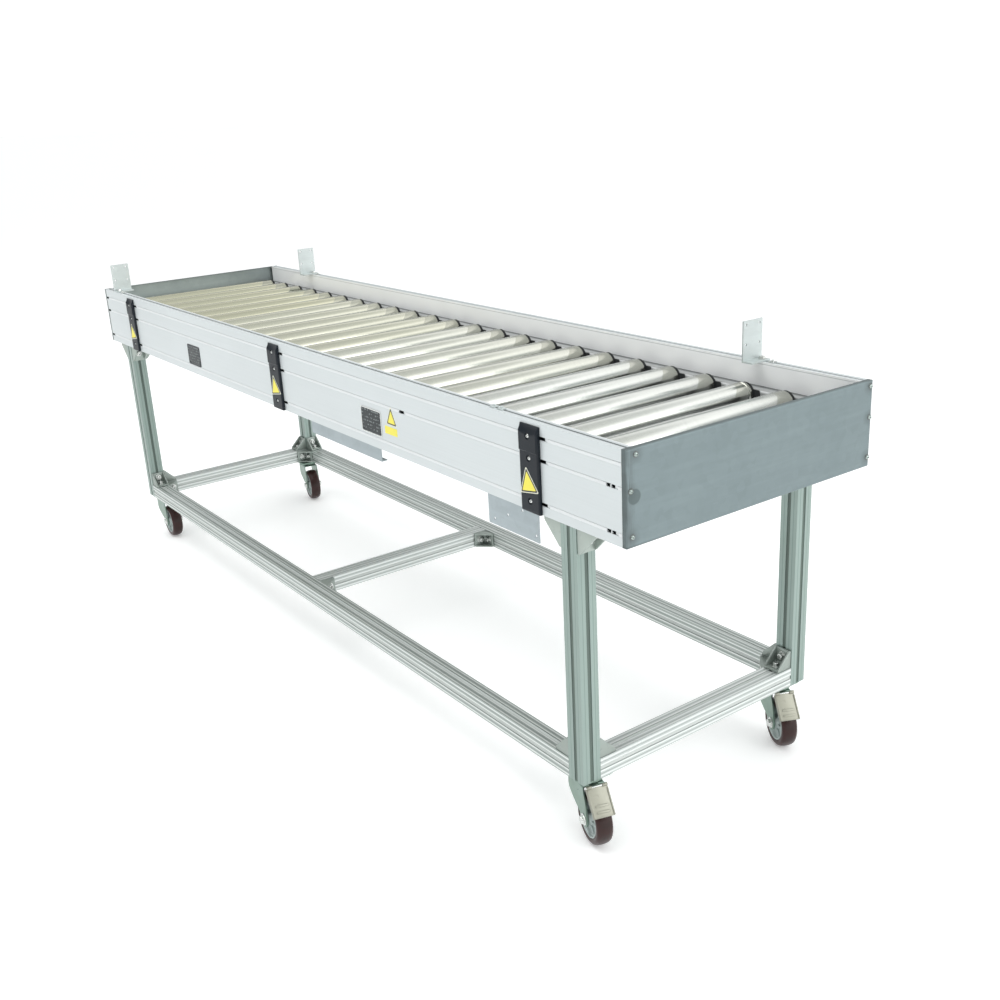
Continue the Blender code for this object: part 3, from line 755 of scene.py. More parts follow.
def roller_axle_mesh():
    """The fixed axle from rail to rail, with a collar at each of the roller's ends."""
    reach = RAIL_INNER - 0.0002
    radius, half = 0.0058, ROLLER_HALF
    shape = Shape()
    side = [(0, -reach), (radius - 0.0006, -reach), (radius, -reach + 0.0008)]
    shape.lathe(side + mirror_image(side), facing((0, 1, 0)), 28)
    for way in (-1, 1):
        collar = [(0.0056, half - 0.0010), (0.0076, half - 0.0010), (0.0076, half + 0.0002),
                  (0.0056, half + 0.0002)]
        shape.lathe([(r, way * h) for r, h in collar], facing((0, 1, 0)), 28, ring=True)
    return shape.data("roller_axle")


def rollers():
    """Each roller: its tube, its axle, and a black seat at each end."""
    plain, grooved = roller_tube_meshes()
    seat = roller_seat_mesh()
    axle = roller_axle_mesh()
    for number in range(1, ROLLER_COUNT + 1):
        node = f"roller_{number:02d}"
        low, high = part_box(node)
        middle = (low + high) / 2
        at = Matrix.Translation(middle)
        mesh = grooved if number == GROOVED_ROLLER else plain
        zinc = ROLLERS[(number - 1) // 6]
        piece(f"{node}_tube", mesh, f"{node}_body", zinc, at, (node,))
        piece(f"{node}_axle", axle, ROOT, STEEL, at)
        for label, way in (("near", -1), ("far", 1)):
            spot = (middle.x, MID_Y + way * (RAIL_INNER - 0.0002), middle.z)
            seated = axes((-way, 0, 0), (0, way, 0), spot)
            piece(f"{node}_seat_{label}", seat, ROOT, SEAT, seated)


def groove_covers():
    """Pale infill pressed into the rails' outer grooves, stopping short where the real one does."""
    stops = []
    for place in ("left", "middle", "right"):
        low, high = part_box(f"cover_strip_{place}")
        x = (low.x + high.x) / 2
        stops.append((x - STRIP_HALF, x + STRIP_HALF + 0.011))
    stops.append((-RAIL_END, -RAIL_END + 0.012))
    dashes = [(RAIL_END - 0.036, RAIL_END - 0.026), (RAIL_END - 0.0245, RAIL_END - 0.0165)]
    near = {0: stops + dashes, 1: stops + dashes + [(0.546, 0.562)], 2: stops}
    half = GROOVE_MOUTH / 2
    for label, way in (("near", -1), ("far", 1)):
        for groove, height in enumerate(GROOVE_HEIGHTS):
            z = RAIL_BOTTOM + height
            face = MID_Y + way * RAIL_OUTER
            section = [(0.0003, -half), (0.0001, -half * 0.55), (0.0001, half * 0.45),
                       (0.0004, half - 0.0008), (0.0034, half - 0.0008), (0.0034, half * 0.4),
                       (0.0016, half * 0.3), (0.0016, -half * 0.3), (0.0034, -half * 0.4), (0.0034, -half)]
            outline = [(face - way * depth, z + up) for depth, up in section]
            sunk = [(face - way * (depth + 0.0018), z + up) for depth, up in section]
            gaps = sorted(near[groove]) if way < 0 else [(RAIL_END - 0.02, RAIL_END)]
            start = -RAIL_END + 0.0005
            shape = Shape()
            for low, high in gaps + [(RAIL_END - 0.0005, RAIL_END)]:
                if low > start + 0.012:
                    shape.prism(sunk, X, start, start + 0.008)
                    shape.prism(outline, X, start + 0.008, low)
                elif low > start + 0.001:
                    shape.prism(outline, X, start, low)
                start = max(start, high)
            piece(f"groove_cover_{label}_{groove + 1}", shape, ROOT, INFILL)


def end_plate_screws():
    for label, end in (("left", -1), ("right", 1)):
        shape = Shape()
        shade_rims = Shape()
        for spot in SCREW_SPOTS:
            if spot[0] * end > 0:
                button_screw(shape, facing((end, 0, 0), spot), 0.0040, 0.0034)
                # A thin dark ring round each screw head: painted shade at the head's edge.
                ring = [(0.0034, 0.0001), (0.0054, 0.0001), (0.0052, 0.0005), (0.0034, 0.0005)]
                shade_rims.lathe(ring, facing((end, 0, 0), spot), 30, ring=True)
        piece(f"end_plate_screws_{label}", shape, ROOT, SCREW)
        piece(f"end_plate_screw_shade_rims_{label}", shade_rims, ROOT, SCREW_SHADE_RING)


def strip_front(x, z):
    """How far the moulded strip stands out: a scooped hood, a raised block, a step, and a lower part."""
    lower, raised, top = 0.0062, 0.0080, 0.154
    edge = 1 - max(0.0, (abs(x) - (STRIP_HALF - 0.003)) / 0.003) ** 2
    step = max(0.0, min(1.0, (z - 0.1065) / 0.0025))
    out = lower + (raised - lower) * step
    dish = math.cos(max(-1.0, min(1.0, x / STRIP_HALF)) * math.pi / 2)
    hood = 0.1425 - 0.0050 * dish
    if z > hood:
        drop = min(1.0, (z - hood) / (top - hood))
        out -= (0.0052 + 0.0010 * dish) * math.sin(drop * math.pi / 2)
    foot = max(0.0, 1 - z / 0.0025)
    return max(0.0008, (out - 0.0012 * foot ** 2) * (0.72 + 0.28 * max(0.0, edge)))


def cover_strips():
    """The black moulded strips, with a recess for each screw and a plain yellow triangle."""
    columns = [-STRIP_HALF + 0.0005 * step for step in range(7)]
    columns += [-0.0210 + 0.003 * step for step in range(15)]
    columns += [STRIP_HALF - 0.0005 * step for step in reversed(range(7))]
    rows = [0, 0.0008, 0.0016, 0.0025] + [0.006 + 0.004 * step for step in range(25)]
    rows += [0.1060, 0.1065, 0.1072, 0.1080, 0.1090, 0.112] + [0.116 + 0.004 * step for step in range(5)]
    rows += [0.1350] + [0.1365 + 0.0010 * step for step in range(18)]
    body = Shape().relief(columns, rows, strip_front)
    recesses = Shape()
    for height in GROOVE_HEIGHTS:
        out = strip_front(0, height)
        recess = [(0, out - 0.0032), (0.0050, out - 0.0032), (0.0056, out - 0.0006), (0.0064, out + 0.0010),
                  (0, out + 0.0010)]
        recesses.lathe(recess, facing((0, -1, 0), (0, 0, height)), 36)
    mesh = boolean_mesh("cover_strip_moulding", body, recesses, "DIFFERENCE")
    screws = Shape()
    for height in GROOVE_HEIGHTS:
        spot = (0, -(strip_front(0, height) - 0.0028), height)
        button_screw(screws, facing((0, -1, 0), spot), 0.0040, 0.0026)
    screw_mesh = screws.data("cover_strip_screws")
    for place in ("left", "middle", "right"):
        low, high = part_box(f"cover_strip_{place}")
        at = Matrix.Translation(((low.x + high.x) / 2 - 0.0008, high.y, low.z))
        node = f"cover_strip_{place}"
        piece(f"{node}_moulding", mesh, ROOT, BLACK, at, (node,))
        piece(f"{node}_screws", screw_mesh, ROOT, STEEL, at)
        tilt = Matrix.Translation((0.0000, -0.0062, 0.0350)) @ Matrix.Rotation(math.radians(-10), 4, "Y")
        triangle_label(f"{node}_label", at @ tilt, 0.0525, 0.0470)


def triangle(width, height, radius):
    """A triangle standing on its base, with round corners."""
    half = width / 2
    lean = math.degrees(math.atan2(height, half))
    inset = radius / math.tan(math.radians(lean / 2))
    points = arc((half - inset, radius), radius, -90, 90 - lean, 5)
    apex = height - radius / math.cos(math.radians(lean))
    points += arc((0, apex), radius, 90 - lean, 90 + lean, 5)
    points += arc((-half + inset, radius), radius, 90 + lean, 270, 5)
    return points


def triangle_label(name, place, width, height):
    """A plain triangle in three layers: a pale margin, a dark border and a yellow field."""
    layers = (("margin", 0.0, 0.0022, LABEL_PALE, 0.00018), ("border", 0.0016, 0.0018, LABEL_DARK, 0.00026),
              ("field", 0.0042, 0.0014, YELLOW, 0.00034))
    for label, inset, radius, material, thickness in layers:
        slope = math.hypot(width / 2, height) / (width / 2)
        small = width - 2 * inset * (1 + slope) / (height / (width / 2))
        outline = triangle(small, height * small / width, radius)
        shape = Shape().prism([(x, z + inset) for x, z in outline], Y, -thickness, 0)
        piece(f"{name}_{label}", shape, ROOT, material, place)


def rating_plates():
    """Two dark plates on the near rail, and the small yellow labels beside the right one."""
    face = NEAR_LOW.y
    for label, x, drop in (("right", 0.433, 0.106), ("left", -0.513, 0.109)):
        at = Matrix.Translation((x, face, RAIL_TOP - drop))
        rim = Shape()
        outer = rounded((-0.041, -0.027), (0.041, 0.027), 0.004)
        inner = rounded((-0.0385, -0.0245), (0.0385, 0.0245), 0.003)
        rim.prism(outer, Y, -0.0011, 0, HERE, 0.0002, 1, holes=(inner,))
        piece(f"rating_plate_{label}_rim", rim, ROOT, STEEL if x > 0 else BLACK, at)
        field = Shape().prism(inner, Y, -0.0007, 0)
        for ux in (-0.035, 0.035):
            for uz in (-0.021, 0.021):
                rivet = [(0, -0.0002), (0.0016, -0.0002), (0.0016, 0.0004), (0.0010, 0.0009), (0, 0.0011)]
                field.lathe(rivet, facing((0, -1, 0), (ux, -0.0006, uz)), 16)
        piece(f"rating_plate_{label}_field", field, ROOT, RATING, at)
    triangle_label("rail_label", Matrix.Translation((0.514, face, RAIL_TOP - 0.100)), 0.042, 0.040)
    strip = Shape().prism(rounded((-0.0235, -0.008), (0.0235, 0.008), 0.001), Y, -0.0003, 0)
    piece("rail_label_strip", strip, ROOT, YELLOW,
          Matrix.Translation((0.510, face, RAIL_TOP - 0.112)))


def stop_bracket_bolts():
    """A bolt through each bracket's foot, and the T bolt that shows beyond it in the rail's top slot."""
    for node in sorted(CAD):
        if not node.startswith("stop_bracket"):
            continue
        low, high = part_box(node)
        side = -1 if (low.y + high.y) / 2 < MID_Y else 1
        slot_y = MID_Y + side * (RAIL_OUTER - TOP_SLOT_IN)
        shape = Shape()
        foot_top = low.z + 0.003
        hex_screw(shape, facing((0, 0, 1), (low.x + 0.0145, slot_y, foot_top)), 0.0050, 0.0040)
        t_bolt(shape, high.x + 0.016, slot_y)
        piece(f"{node}_bolts", shape, ROOT, STEEL)
    spare = Shape()
    slot_y = MID_Y - (RAIL_OUTER - TOP_SLOT_IN)
    for x in (0.855, 0.877):
        t_bolt(spare, x, slot_y)
    piece("spare_t_bolts", spare, ROOT, BRACKET)


def t_bolt(shape, x, y):
    """A square nut plate on the rail's top face, with a short stud."""
    plate = rounded((x - 0.007, y - 0.006), (x + 0.007, y + 0.006), 0.0015, 3)
    shape.prism(plate, Z, RAIL_TOP + 0.0001, RAIL_TOP + 0.0022, HERE, 0.0004, 1)
    stud = [(0, 0.0018), (0.0025, 0.0018), (0.0025, 0.0048), (0.0019, 0.0055), (0, 0.0055)]
    shape.lathe(stud, facing((0, 0, 1), (x, y, RAIL_TOP)), 20)


def hanging_sheet_screws():
    """Screws that hold the two hanging sheets to the rail's inner face."""
    for node, count in (("wiring_cover", 4), ("junction_plate", 3)):
        low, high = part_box(node)
        inner = NEAR_HIGH.y + 0.0023
        shape = Shape()
        for number in range(count):
            x = low.x + (high.x - low.x) * (number + 0.5) / count
            button_screw(shape, facing((0, 1, 0), (x, inner, RAIL_BOTTOM + 0.018)), 0.0040, 0.0024)
        piece(f"{node}_screws", shape, ROOT, STEEL)


# ---------------------------------------------------------------- the stand


def corner_bracket_mesh(size):
    """A cast corner: two feet at right angles between two triangular cheeks. Its corner is the origin."""
    wall, cheek, half = 0.0045, 0.0035, 0.0185
    shape = Shape()
    feet = [(0, 0), (size, 0), (size, wall), (wall + 0.004, wall), (wall, wall + 0.004), (wall, size),
            (0, size)]
    shape.prism(feet, Y, -half, half, HERE, 0.0006, 2)
    side = [(0.0005, 0.0005), (size - 0.0005, 0.0005), (size - 0.0005, wall + 0.0015),
            (wall + 0.0015, size - 0.0005), (0.0005, size - 0.0005)]
    for way in (-1, 1):
        shape.prism(side, Y, way * (half - cheek), way * (half + 0.0003), HERE, 0.0006, 2)
    x_for_z = Matrix(((0, 0, 1, 0), (0, 1, 0, 0), (1, 0, 0, 0), (0, 0, 0, 1)))
    for lug in (HERE, x_for_z):
        outline = rounded((0.0125, -0.0105), (0.0330, 0.0105), 0.0025, 3)
        shape.prism(outline, Z, wall - 0.0005, wall + 0.0012, lug, 0.0003, 1)
    return shape.data("corner_bracket")


def corner_bolts_mesh():
    shape = Shape()
    for direction, at in (((0, 0, 1), (0.0225, 0, 0.0055)), ((1, 0, 0), (0.0055, 0, 0.0225))):
        cap_screw(shape, facing(direction, at), 0.0062, 0.0085)
    return shape.data("corner_bolts")


def corner_brackets():
    """Corner brackets at the leg tops, at the feet, in the beams' corners and at the middle cross beam."""
    casting = corner_bracket_mesh(FOOT_BRACKET)
    tall_casting = corner_bracket_mesh(TOP_BRACKET)
    bolts = corner_bolts_mesh()
    up, down = (0, 0, 1), (0, 0, -1)
    under_rail = RAIL_BOTTOM - BRACKET_GAP
    on_beam = LEG_BOTTOM + PROFILE + BRACKET_GAP
    beam_middle = LEG_BOTTOM + PROFILE / 2
    out = PROFILE / 2 + BRACKET_GAP
    spots = []
    for side_name, side in (("near", 1), ("far", -1)):
        for end_name, end in (("left", 1), ("right", -1)):
            name = f"{side_name}_{end_name}"
            low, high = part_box(f"leg_{name}")
            x, y = (low.x + high.x) / 2, (low.y + high.y) / 2
            inner_x, outer_x, inner_y = x + end * out, x - end * out, y + side * out
            spots += [
                (f"leg_top_inner_{name}", (end, 0, 0), down, (inner_x, y, under_rail)),
                (f"leg_top_outer_{name}", (-end, 0, 0), down, (outer_x, y, under_rail)),
                (f"leg_top_side_{name}", (0, side, 0), down, (x, inner_y, under_rail)),
                (f"foot_along_{name}", (end, 0, 0), up, (inner_x, y, on_beam)),
                (f"foot_across_{name}", (0, side, 0), up, (x, inner_y, on_beam)),
                (f"foot_flat_{name}", (end, 0, 0), (0, side, 0), (inner_x, inner_y, beam_middle)),
            ]
    cross_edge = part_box("cross_beam_middle")[1].x + BRACKET_GAP
    for side_name, side in (("near", 1), ("far", -1)):
        beam_low, beam_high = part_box(f"beam_{side_name}")
        y = (beam_low.y + beam_high.y) / 2 + side * out
        spots.append((f"middle_{side_name}", (1, 0, 0), (0, side, 0), (cross_edge, y, beam_middle)))
    for name, first, second, at in spots:
        place = axes(first, second, at)
        at_top = name.startswith("leg_top")
        metal = PALE_CASTING if at_top else CASTING
        piece(f"corner_{name}", tall_casting if at_top else casting, ROOT, metal, place)
        piece(f"corner_{name}_bolts", bolts, ROOT, STEEL, place)


def infill_runs(node, axis, out_axis, way):
    """Where a member's groove on one face is filled, from and to, clear of the corner brackets."""
    low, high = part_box(node)
    start, end = low[axis] + 0.001, high[axis] - 0.001
    centre = (low[out_axis] + high[out_axis]) / 2 - (MID_Y if out_axis == Y else 0)
    inward = way * centre < 0
    if axis == Z:
        foot = PROFILE + FOOT_BRACKET if inward else 0.0
        head = TOP_BRACKET if inward or out_axis == X else 0.0
        return [(start + foot, end - head)]
    if node == "cross_beam_middle":
        bracketed = (out_axis, way) == (X, 1)
    else:
        bracketed = (out_axis, way) == (Z, 1) or (out_axis != Z and inward)
    short = FOOT_BRACKET if bracketed else 0.0
    if axis == X and out_axis == Y and inward:
        cross_low, cross_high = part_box("cross_beam_middle")
        return [(start + short, cross_low.x - 0.001), (cross_high.x + FOOT_BRACKET, end - short)]
    return [(start + short, end - short)]


def profile_infill():
    """Strips pressed into the grooves of the legs and beams, each stopping short of the corner brackets."""
    half, top, bottom = 0.0033, -0.0010, -0.0030
    section = [(-half, bottom), (half, bottom), (half, top), (half * 0.6, top - 0.0003),
               (-half * 0.6, top - 0.0003), (-half, top)]
    for node in sorted(CAD):
        if not node.startswith(("leg_", "beam_", "cross_beam_")):
            continue
        axis = {"l": Z, "b": X, "c": Y}[node[0]]
        low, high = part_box(node)
        middle = (low + high) / 2
        for out_axis in (side for side in (X, Y, Z) if side != axis):
            for way in (-1, 1):
                out, along, face = Vector((0, 0, 0)), Vector((0, 0, 0)), Vector(middle)
                out[out_axis], along[axis] = way, 1
                face[out_axis] += way * PROFILE / 2
                face[axis] = 0
                shape = Shape()
                for first, last in infill_runs(node, axis, out_axis, way):
                    shape.prism(section, X, first, last, axes(along, out, face))
                material = LEG_INFILL if axis == Z else PROFILE_INFILL
                label = f"{'xyz'[out_axis]}{'low' if way < 0 else 'high'}"
                piece(f"{node}_infill_{label}", shape, ROOT, material)


# ---------------------------------------------------------------- casters


def fork_mesh(trail, axle_drop):
    """A pressed fork: a U with round bends, kept inside the outline of its side view. z is 0 at the leg."""
    top, sheet, inner, bend = -0.0129, 0.003, 0.019, 0.0050
    outer = inner + sheet
    bottom = axle_drop - 0.020
    section = [(-outer, bottom)] + arc((-outer + bend, top - bend), bend, 180, 90, 6)
    section += arc((outer - bend, top - bend), bend, 90, 0, 6) + [(outer, bottom), (inner, bottom)]
    small = bend - sheet
    section += arc((inner - small, top - sheet - small), small, 0, 90, 4)
    section += arc((-inner + small, top - sheet - small), small, 90, 180, 4) + [(-inner, bottom)]
    channel = Shape().prism(section, X, -0.045, 0.060)
    outline = arc((-0.0350, top - 0.0035), 0.0035, 90, 180, 3) + [(-0.0385, top - 0.031)]
    outline += [(-0.0360, top - 0.0375), (-0.0250, top - 0.0455), (-0.0080, top - 0.0535),
                (0.0095, top - 0.0605)]
    outline += arc((trail, axle_drop), 0.0145, 165, 375, 14)
    outline += [(0.0425, top - 0.052), (0.0405, top - 0.036), (0.0370, top - 0.024), (0.0310, top - 0.012)]
    outline += arc((0.0265, top - 0.0035), 0.0035, 0, 90, 3)
    side = Shape().prism(outline, Y, -0.030, 0.030)
    return boolean_mesh("caster_fork", channel, side, "INTERSECT")


def fork_details(shape, trail, axle_drop):
    """The lower race on the crown, a pressed rib in each cheek, and the axle bolt with its nut."""
    race = [(0.0075, -0.0129), (0.0245, -0.0129), (0.0262, -0.0123), (0.0262, -0.0119), (0.0245, -0.0114),
            (0.0075, -0.0114)]
    shape.lathe(race, HERE, 60, ring=True)
    for way in (-1, 1):
        face = way * 0.0220
        at = (trail, face, axle_drop)
        hex_screw(shape, facing((0, way, 0), at), 0.0072, 0.0058)
    shape.lathe([(0, -0.0215), (0.0058, -0.0215), (0.0058, 0.0215), (0, 0.0215)],
                facing((0, 1, 0), (trail, 0, axle_drop)), 24)
    end = [(0, 0.0285), (0.0042, 0.0285), (0.0042, 0.0300), (0.0036, 0.0306), (0, 0.0306)]
    shape.lathe(end, facing((0, 1, 0), (trail, 0, axle_drop)), 24)
    for way in (-1, 1):
        cup = [(0.0066, 0.0176), (0.0105, 0.0176), (0.0112, 0.0181), (0.0112, 0.0189), (0.0066, 0.0189)]
        shape.lathe([(r, way * h) for r, h in cup], facing((0, 1, 0), (trail, 0, axle_drop)), 32, ring=True)


def head_mesh():
    """The fixed plate with its corner bolts, the race cup, and the kingpin nut. z is 0 at the leg."""
    shape = Shape()
    half = 0.035
    shape.prism(rounded((-half, -half), (half, half), 0.006), Z, -0.0038, -0.0003, HERE, 0.0005, 2)
    cup = [(0.006, -0.0036), (0.0300, -0.0036), (0.0300, -0.0046), (0.0282, -0.0054), (0.0276, -0.0085),
           (0.0284, -0.0098), (0.0290, -0.0112), (0.0278, -0.0120), (0.0215, -0.0113), (0.006, -0.0113)]
    shape.lathe(cup, HERE, 60, ring=True)
    for x in (-0.0265, 0.0265):
        for y in (-0.0265, 0.0265):
            hex_screw(shape, facing((0, 0, -1), (x, y, -0.0038)), 0.0050, 0.0036, washer=False)
    nut = [(0, -0.0166), (0.0085, -0.0166, True), (0.0085, -0.0212, True), (0.0082, -0.0219), (0, -0.0219)]
    shape.lathe(nut, HERE, 36)
    kingpin = [(0, -0.010), (0.0058, -0.010), (0.0058, -0.0225), (0.0050, -0.0232), (0, -0.0232)]
    shape.lathe(kingpin, HERE, 24)
    return shape.data("caster_head")


def wheel_meshes(radius):
    """(tread, hub): the tread is a tyre with round shoulders; the hub is dished, with a rim and a boss."""
    half = 0.0160
    tread = Shape()
    side = [(0.0362, half - 0.0030), (0.0372, half - 0.0012), (0.0395, half - 0.0004), (0.0425, half),
            (0.0448, half - 0.0006), (0.0468, half - 0.0022), (0.0483, half - 0.0046),
            (0.0493, half - 0.0078), (0.0498, half - 0.0116), (radius, 0.0022)]
    tread.lathe(side + mirror_image(side), facing((0, 1, 0)), 96, ring=True)
    hub = Shape()
    face = [(0.0066, 0.0174), (0.0115, 0.0174), (0.0122, 0.0168), (0.0128, 0.0120), (0.0150, 0.0092),
            (0.0205, 0.0080), (0.0290, 0.0086), (0.0322, 0.0112), (0.0330, 0.0142), (0.0340, 0.0152),
            (0.0358, 0.0152), (0.0364, 0.0140)]
    hub.lathe(face + mirror_image(face), facing((0, 1, 0)), 96, ring=True)
    for way in (-1, 1):
        for step in range(6):
            turn = Matrix.Rotation(math.radians(60 * step), 4, "Y")
            rib = [(0.0125, 0.0070), (0.0320, 0.0070), (0.0320, 0.0100), (0.0125, 0.0128)]
            rib = [(radius, way * height) for radius, height in rib]
            hub.prism(rib, Z, -0.0011, 0.0011, turn, 0.0004, 1)
    return tread.data("caster_tread"), hub.data("caster_hub")


def pedal_mesh(width, length):
    """A pressed pedal: a dished channel with side flanges, two raised bars, and a knuckle at its pivot."""
    shape = Shape()
    half, sheet, flange, bend = width / 2, 0.0020, 0.0070, 0.0032
    outer = [(-half, -flange)] + arc((-half + bend, -bend), bend, 180, 90, 5)
    outer += arc((half - bend, -bend), bend, 90, 0, 5) + [(half, -flange), (half - sheet, -flange)]
    small = bend - sheet
    outer += arc((half - bend, -bend), small, 0, 90, 3) + arc((-half + bend, -bend), small, 90, 180, 3)
    outer += [(-half + sheet, -flange)]
    shape.prism(outer, X, 0.0015, length, HERE, 0.0003, 1)
    for start in (length - 0.0230, length - 0.0120):
        bar = rounded((start, -half + 0.0075), (start + 0.0050, half - 0.0075), 0.0024, 4)
        shape.prism(bar, Z, -0.0012, 0.0011, HERE, 0.0008, 3)
    for low, high in ((-half + 0.0004, -half + 0.0028), (half - 0.0028, half - 0.0004)):
        rim = rounded((0.0050, low), (length - 0.0005, high), 0.0010, 3)
        shape.prism(rim, Z, -0.0010, 0.0016, HERE, 0.0006, 2)
    lip = [(length - 0.0022, -0.0034), (length + 0.0002, -0.0034), (length + 0.0002, 0.0003),
           (length - 0.0022, 0.0003)]
    shape.prism(lip, Y, -half + 0.003, half - 0.003, HERE, 0.0006, 2)
    for low, high in ((-half + 0.0005, -half + 0.010), (half - 0.010, half - 0.0005)):
        knuckle = [(0.0021, low), (0.0032, low), (0.0034, low + 0.0003), (0.0034, high - 0.0003),
                   (0.0032, high), (0.0021, high)]
        shape.lathe(knuckle, facing((0, 1, 0)), 28, ring=True)
    return shape.data("brake_pedal_pressing")


def pedal_seat(shape, pivot_x, pivot_drop):
    """The fork's own tongue and pin that carry the pedal, and the brake shoe's arm behind it."""
    tongue = [(0.0200, -0.0132), (0.0330, -0.0132), (pivot_x + 0.001, pivot_drop - 0.0035),
              (pivot_x + 0.001, pivot_drop - 0.0055), (0.0320, -0.0160), (0.0200, -0.0160)]
    shape.prism(tongue, Y, -0.0090, 0.0090, HERE, 0.0004, 1)
    side = [(0, -0.0207), (0.0017, -0.0207), (0.0019, -0.0203)]
    shape.lathe(side + mirror_image(side), facing((0, 1, 0), (pivot_x, 0, pivot_drop)), 24)


def casters():
    """Each caster: its plate, its fork with the axle bolt, its wheel and, at the +X end, its brake pedal."""
    head = head_mesh()
    tread, hub = wheel_meshes(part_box("caster_wheel_near_left")[1].z / 2)
    pedal = pedal_mesh(*PEDAL_SIZE)
    slope = Matrix.Rotation(math.radians(PEDAL_SLOPE), 4, "Y")
    for place in ("near_left", "far_left", "near_right", "far_right"):
        head_node, fork_node = f"caster_head_{place}", f"caster_fork_{place}"
        wheel_node, pedal_node = f"caster_wheel_{place}", f"brake_pedal_{place}"
        swivelling, rolling = f"swivel_{place}", f"wheel_{place}"
        roll = JOINTS[rolling]
        centre = Vector(JOINTS[swivelling]["pos_m"])
        axle = Vector(roll["pos_m"])
        heading = Matrix.Rotation(math.atan2(-roll["axis"][0], roll["axis"][1]), 4, "Z")
        trail = (axle.xy - centre.xy).length
        drop = axle.z - LEG_BOTTOM
        at_leg = Matrix.Translation((centre.x, centre.y, LEG_BOTTOM))
        turned = at_leg @ heading
        piece(f"{head_node}_plate", head, ROOT, PLATED, at_leg, (head_node,))
        pressing = fork_mesh(trail, drop)
        fork = piece(f"{fork_node}_pressing", pressing, swivelling, PLATED, turned,
                     (fork_node,))
        soften(fork, 0.0004, 2, 50)
        details = Shape()
        fork_details(details, trail, drop)
        if pedal_node in JOINTS:
            hinge = Vector(JOINTS[pedal_node]["pos_m"])
            pivot_x = (hinge.xy - centre.xy).length
            pivot_drop = hinge.z - LEG_BOTTOM
            pedal_seat(details, pivot_x, pivot_drop)
            pivot = turned @ Matrix.Translation((pivot_x, 0, pivot_drop)) @ slope
            piece(f"{pedal_node}_pressing", pedal, f"pedal_{place}", PEDAL, pivot,
                  (pedal_node,))
        piece(f"{fork_node}_axle", details, swivelling, STEEL, turned)
        wheel_at = Matrix.Translation(axle) @ heading
        piece(f"{wheel_node}_tread", tread, rolling, TREAD, wheel_at, (wheel_node,))
        piece(f"{wheel_node}_hub", hub, rolling, HUB, wheel_at)


# ---------------------------------------------------------------- studio


# The sky by the sine of the height above the horizon: (sine, colour)
SKY = (
    (0.0, (1.45, 1.45, 1.45)),
    (0.13, (1.45, 1.45, 1.45)),
    (0.20, (0.38, 0.40, 0.40)),
    (0.38, (0.40, 0.43, 0.43)),
    (0.50, (0.86, 0.88, 0.88)),
    (0.58, (1.18, 1.18, 1.18)),
    (0.72, (1.18, 1.18, 1.18)),
    (0.80, (0.74, 0.76, 0.75)),
    (1.0, (0.74, 0.76, 0.75)),
)
BRIGHT_SIDE = (0.707, 0.707, 0)
BRIGHT_SPAN = (0.50, 1.50)


def area_light(name, at, size, power):
    """A soft rectangular light aimed at the conveyor's middle."""
    light = bpy.data.lights.new(name, "AREA")
    light.shape = "RECTANGLE"
    light.size, light.size_y = size
    light.energy = power
    made = bpy.data.objects.new(name, light)
    bpy.context.scene.collection.objects.link(made)
    aim = Vector((0, MID_Y, 0.6)) - Vector(at)
    made.matrix_world = Matrix.Translation(at) @ aim.to_track_quat("-Z", "Y").to_matrix().to_4x4()


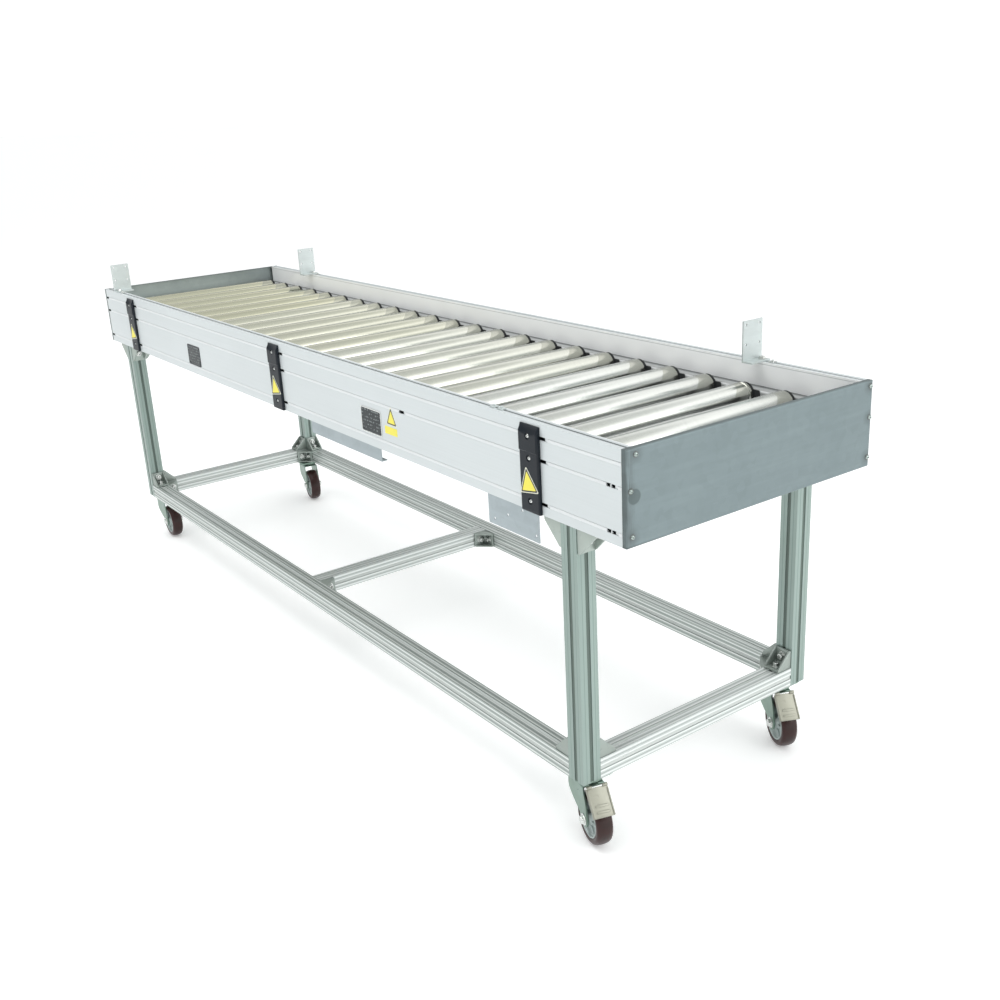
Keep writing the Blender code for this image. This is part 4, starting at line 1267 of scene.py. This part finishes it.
def sky():
    """Bright at the horizon, dark above it, bright again, grey overhead, and brighter to one side."""
    world = bpy.data.worlds.new("studio")
    world.use_nodes = True
    tree = world.node_tree
    background = tree.nodes["Background"]
    direction = tree.nodes.new("ShaderNodeTexCoord").outputs["Generated"]
    height = tree.nodes.new("ShaderNodeSeparateXYZ")
    tree.links.new(direction, height.inputs[0])
    ramp = tree.nodes.new("ShaderNodeValToRGB")
    tree.links.new(height.outputs[Z], ramp.inputs[0])
    elements = ramp.color_ramp.elements
    while len(elements) < len(SKY):
        elements.new(0.5)
    for element, (position, colour) in zip(elements, SKY):
        element.position = position
        element.color = (*colour, 1)
    tree.links.new(ramp.outputs[0], background.inputs[0])
    facing_side = tree.nodes.new("ShaderNodeVectorMath")
    facing_side.operation = "DOT_PRODUCT"
    facing_side.inputs[1].default_value = BRIGHT_SIDE
    tree.links.new(direction, facing_side.inputs[0])
    strength = tree.nodes.new("ShaderNodeMapRange")
    tree.links.new(facing_side.outputs["Value"], strength.inputs["Value"])
    strength.inputs["From Min"].default_value = -1.0
    strength.inputs["To Min"].default_value = BRIGHT_SPAN[0]
    strength.inputs["To Max"].default_value = BRIGHT_SPAN[1]
    tree.links.new(strength.outputs["Result"], background.inputs[1])
    bpy.context.scene.world = world


def studio():
    """A wide pale floor, the sky and two soft lights."""
    floor = Shape().block((-120, -120, -0.02), (120, 120, 0)).data("studio_floor")
    ground = bpy.data.objects.new("studio_floor", floor)
    bpy.context.scene.collection.objects.link(ground)
    floor.materials.append(floor_material())
    sky()
    area_light("top_light", (-0.5, -1.6, 4.8), (5.0, 2.5), 95)
    area_light("end_light", (5.0, 1.5, 2.6), (3.0, 2.5), 60)
    bpy.context.scene.view_settings.view_transform = "Standard"


def camera():
    """The photograph's view of the near side and the +X end."""
    lens = bpy.data.cameras.new("photo_camera")
    lens.sensor_width = 36.0
    lens.lens = 40.95
    lens.clip_end = 100
    made = bpy.data.objects.new("photo_camera", lens)
    bpy.context.scene.collection.objects.link(made)
    right = (0.59007, 0.80576, -0.05065)
    up = (-0.24280, 0.23694, 0.94070)
    back = (0.76997, -0.54278, 0.33545)
    turn = Matrix((right, up, back)).transposed().to_4x4()
    made.matrix_world = Matrix.Translation((2.418, MID_Y - 1.3825, RAIL_TOP + 0.509)) @ turn
    bpy.context.scene.camera = made


dress_cad()
rollers()
groove_covers()
end_plate_screws()
cover_strips()
rating_plates()
stop_bracket_bolts()
hanging_sheet_screws()
corner_brackets()
profile_infill()
casters()
studio()
camera()
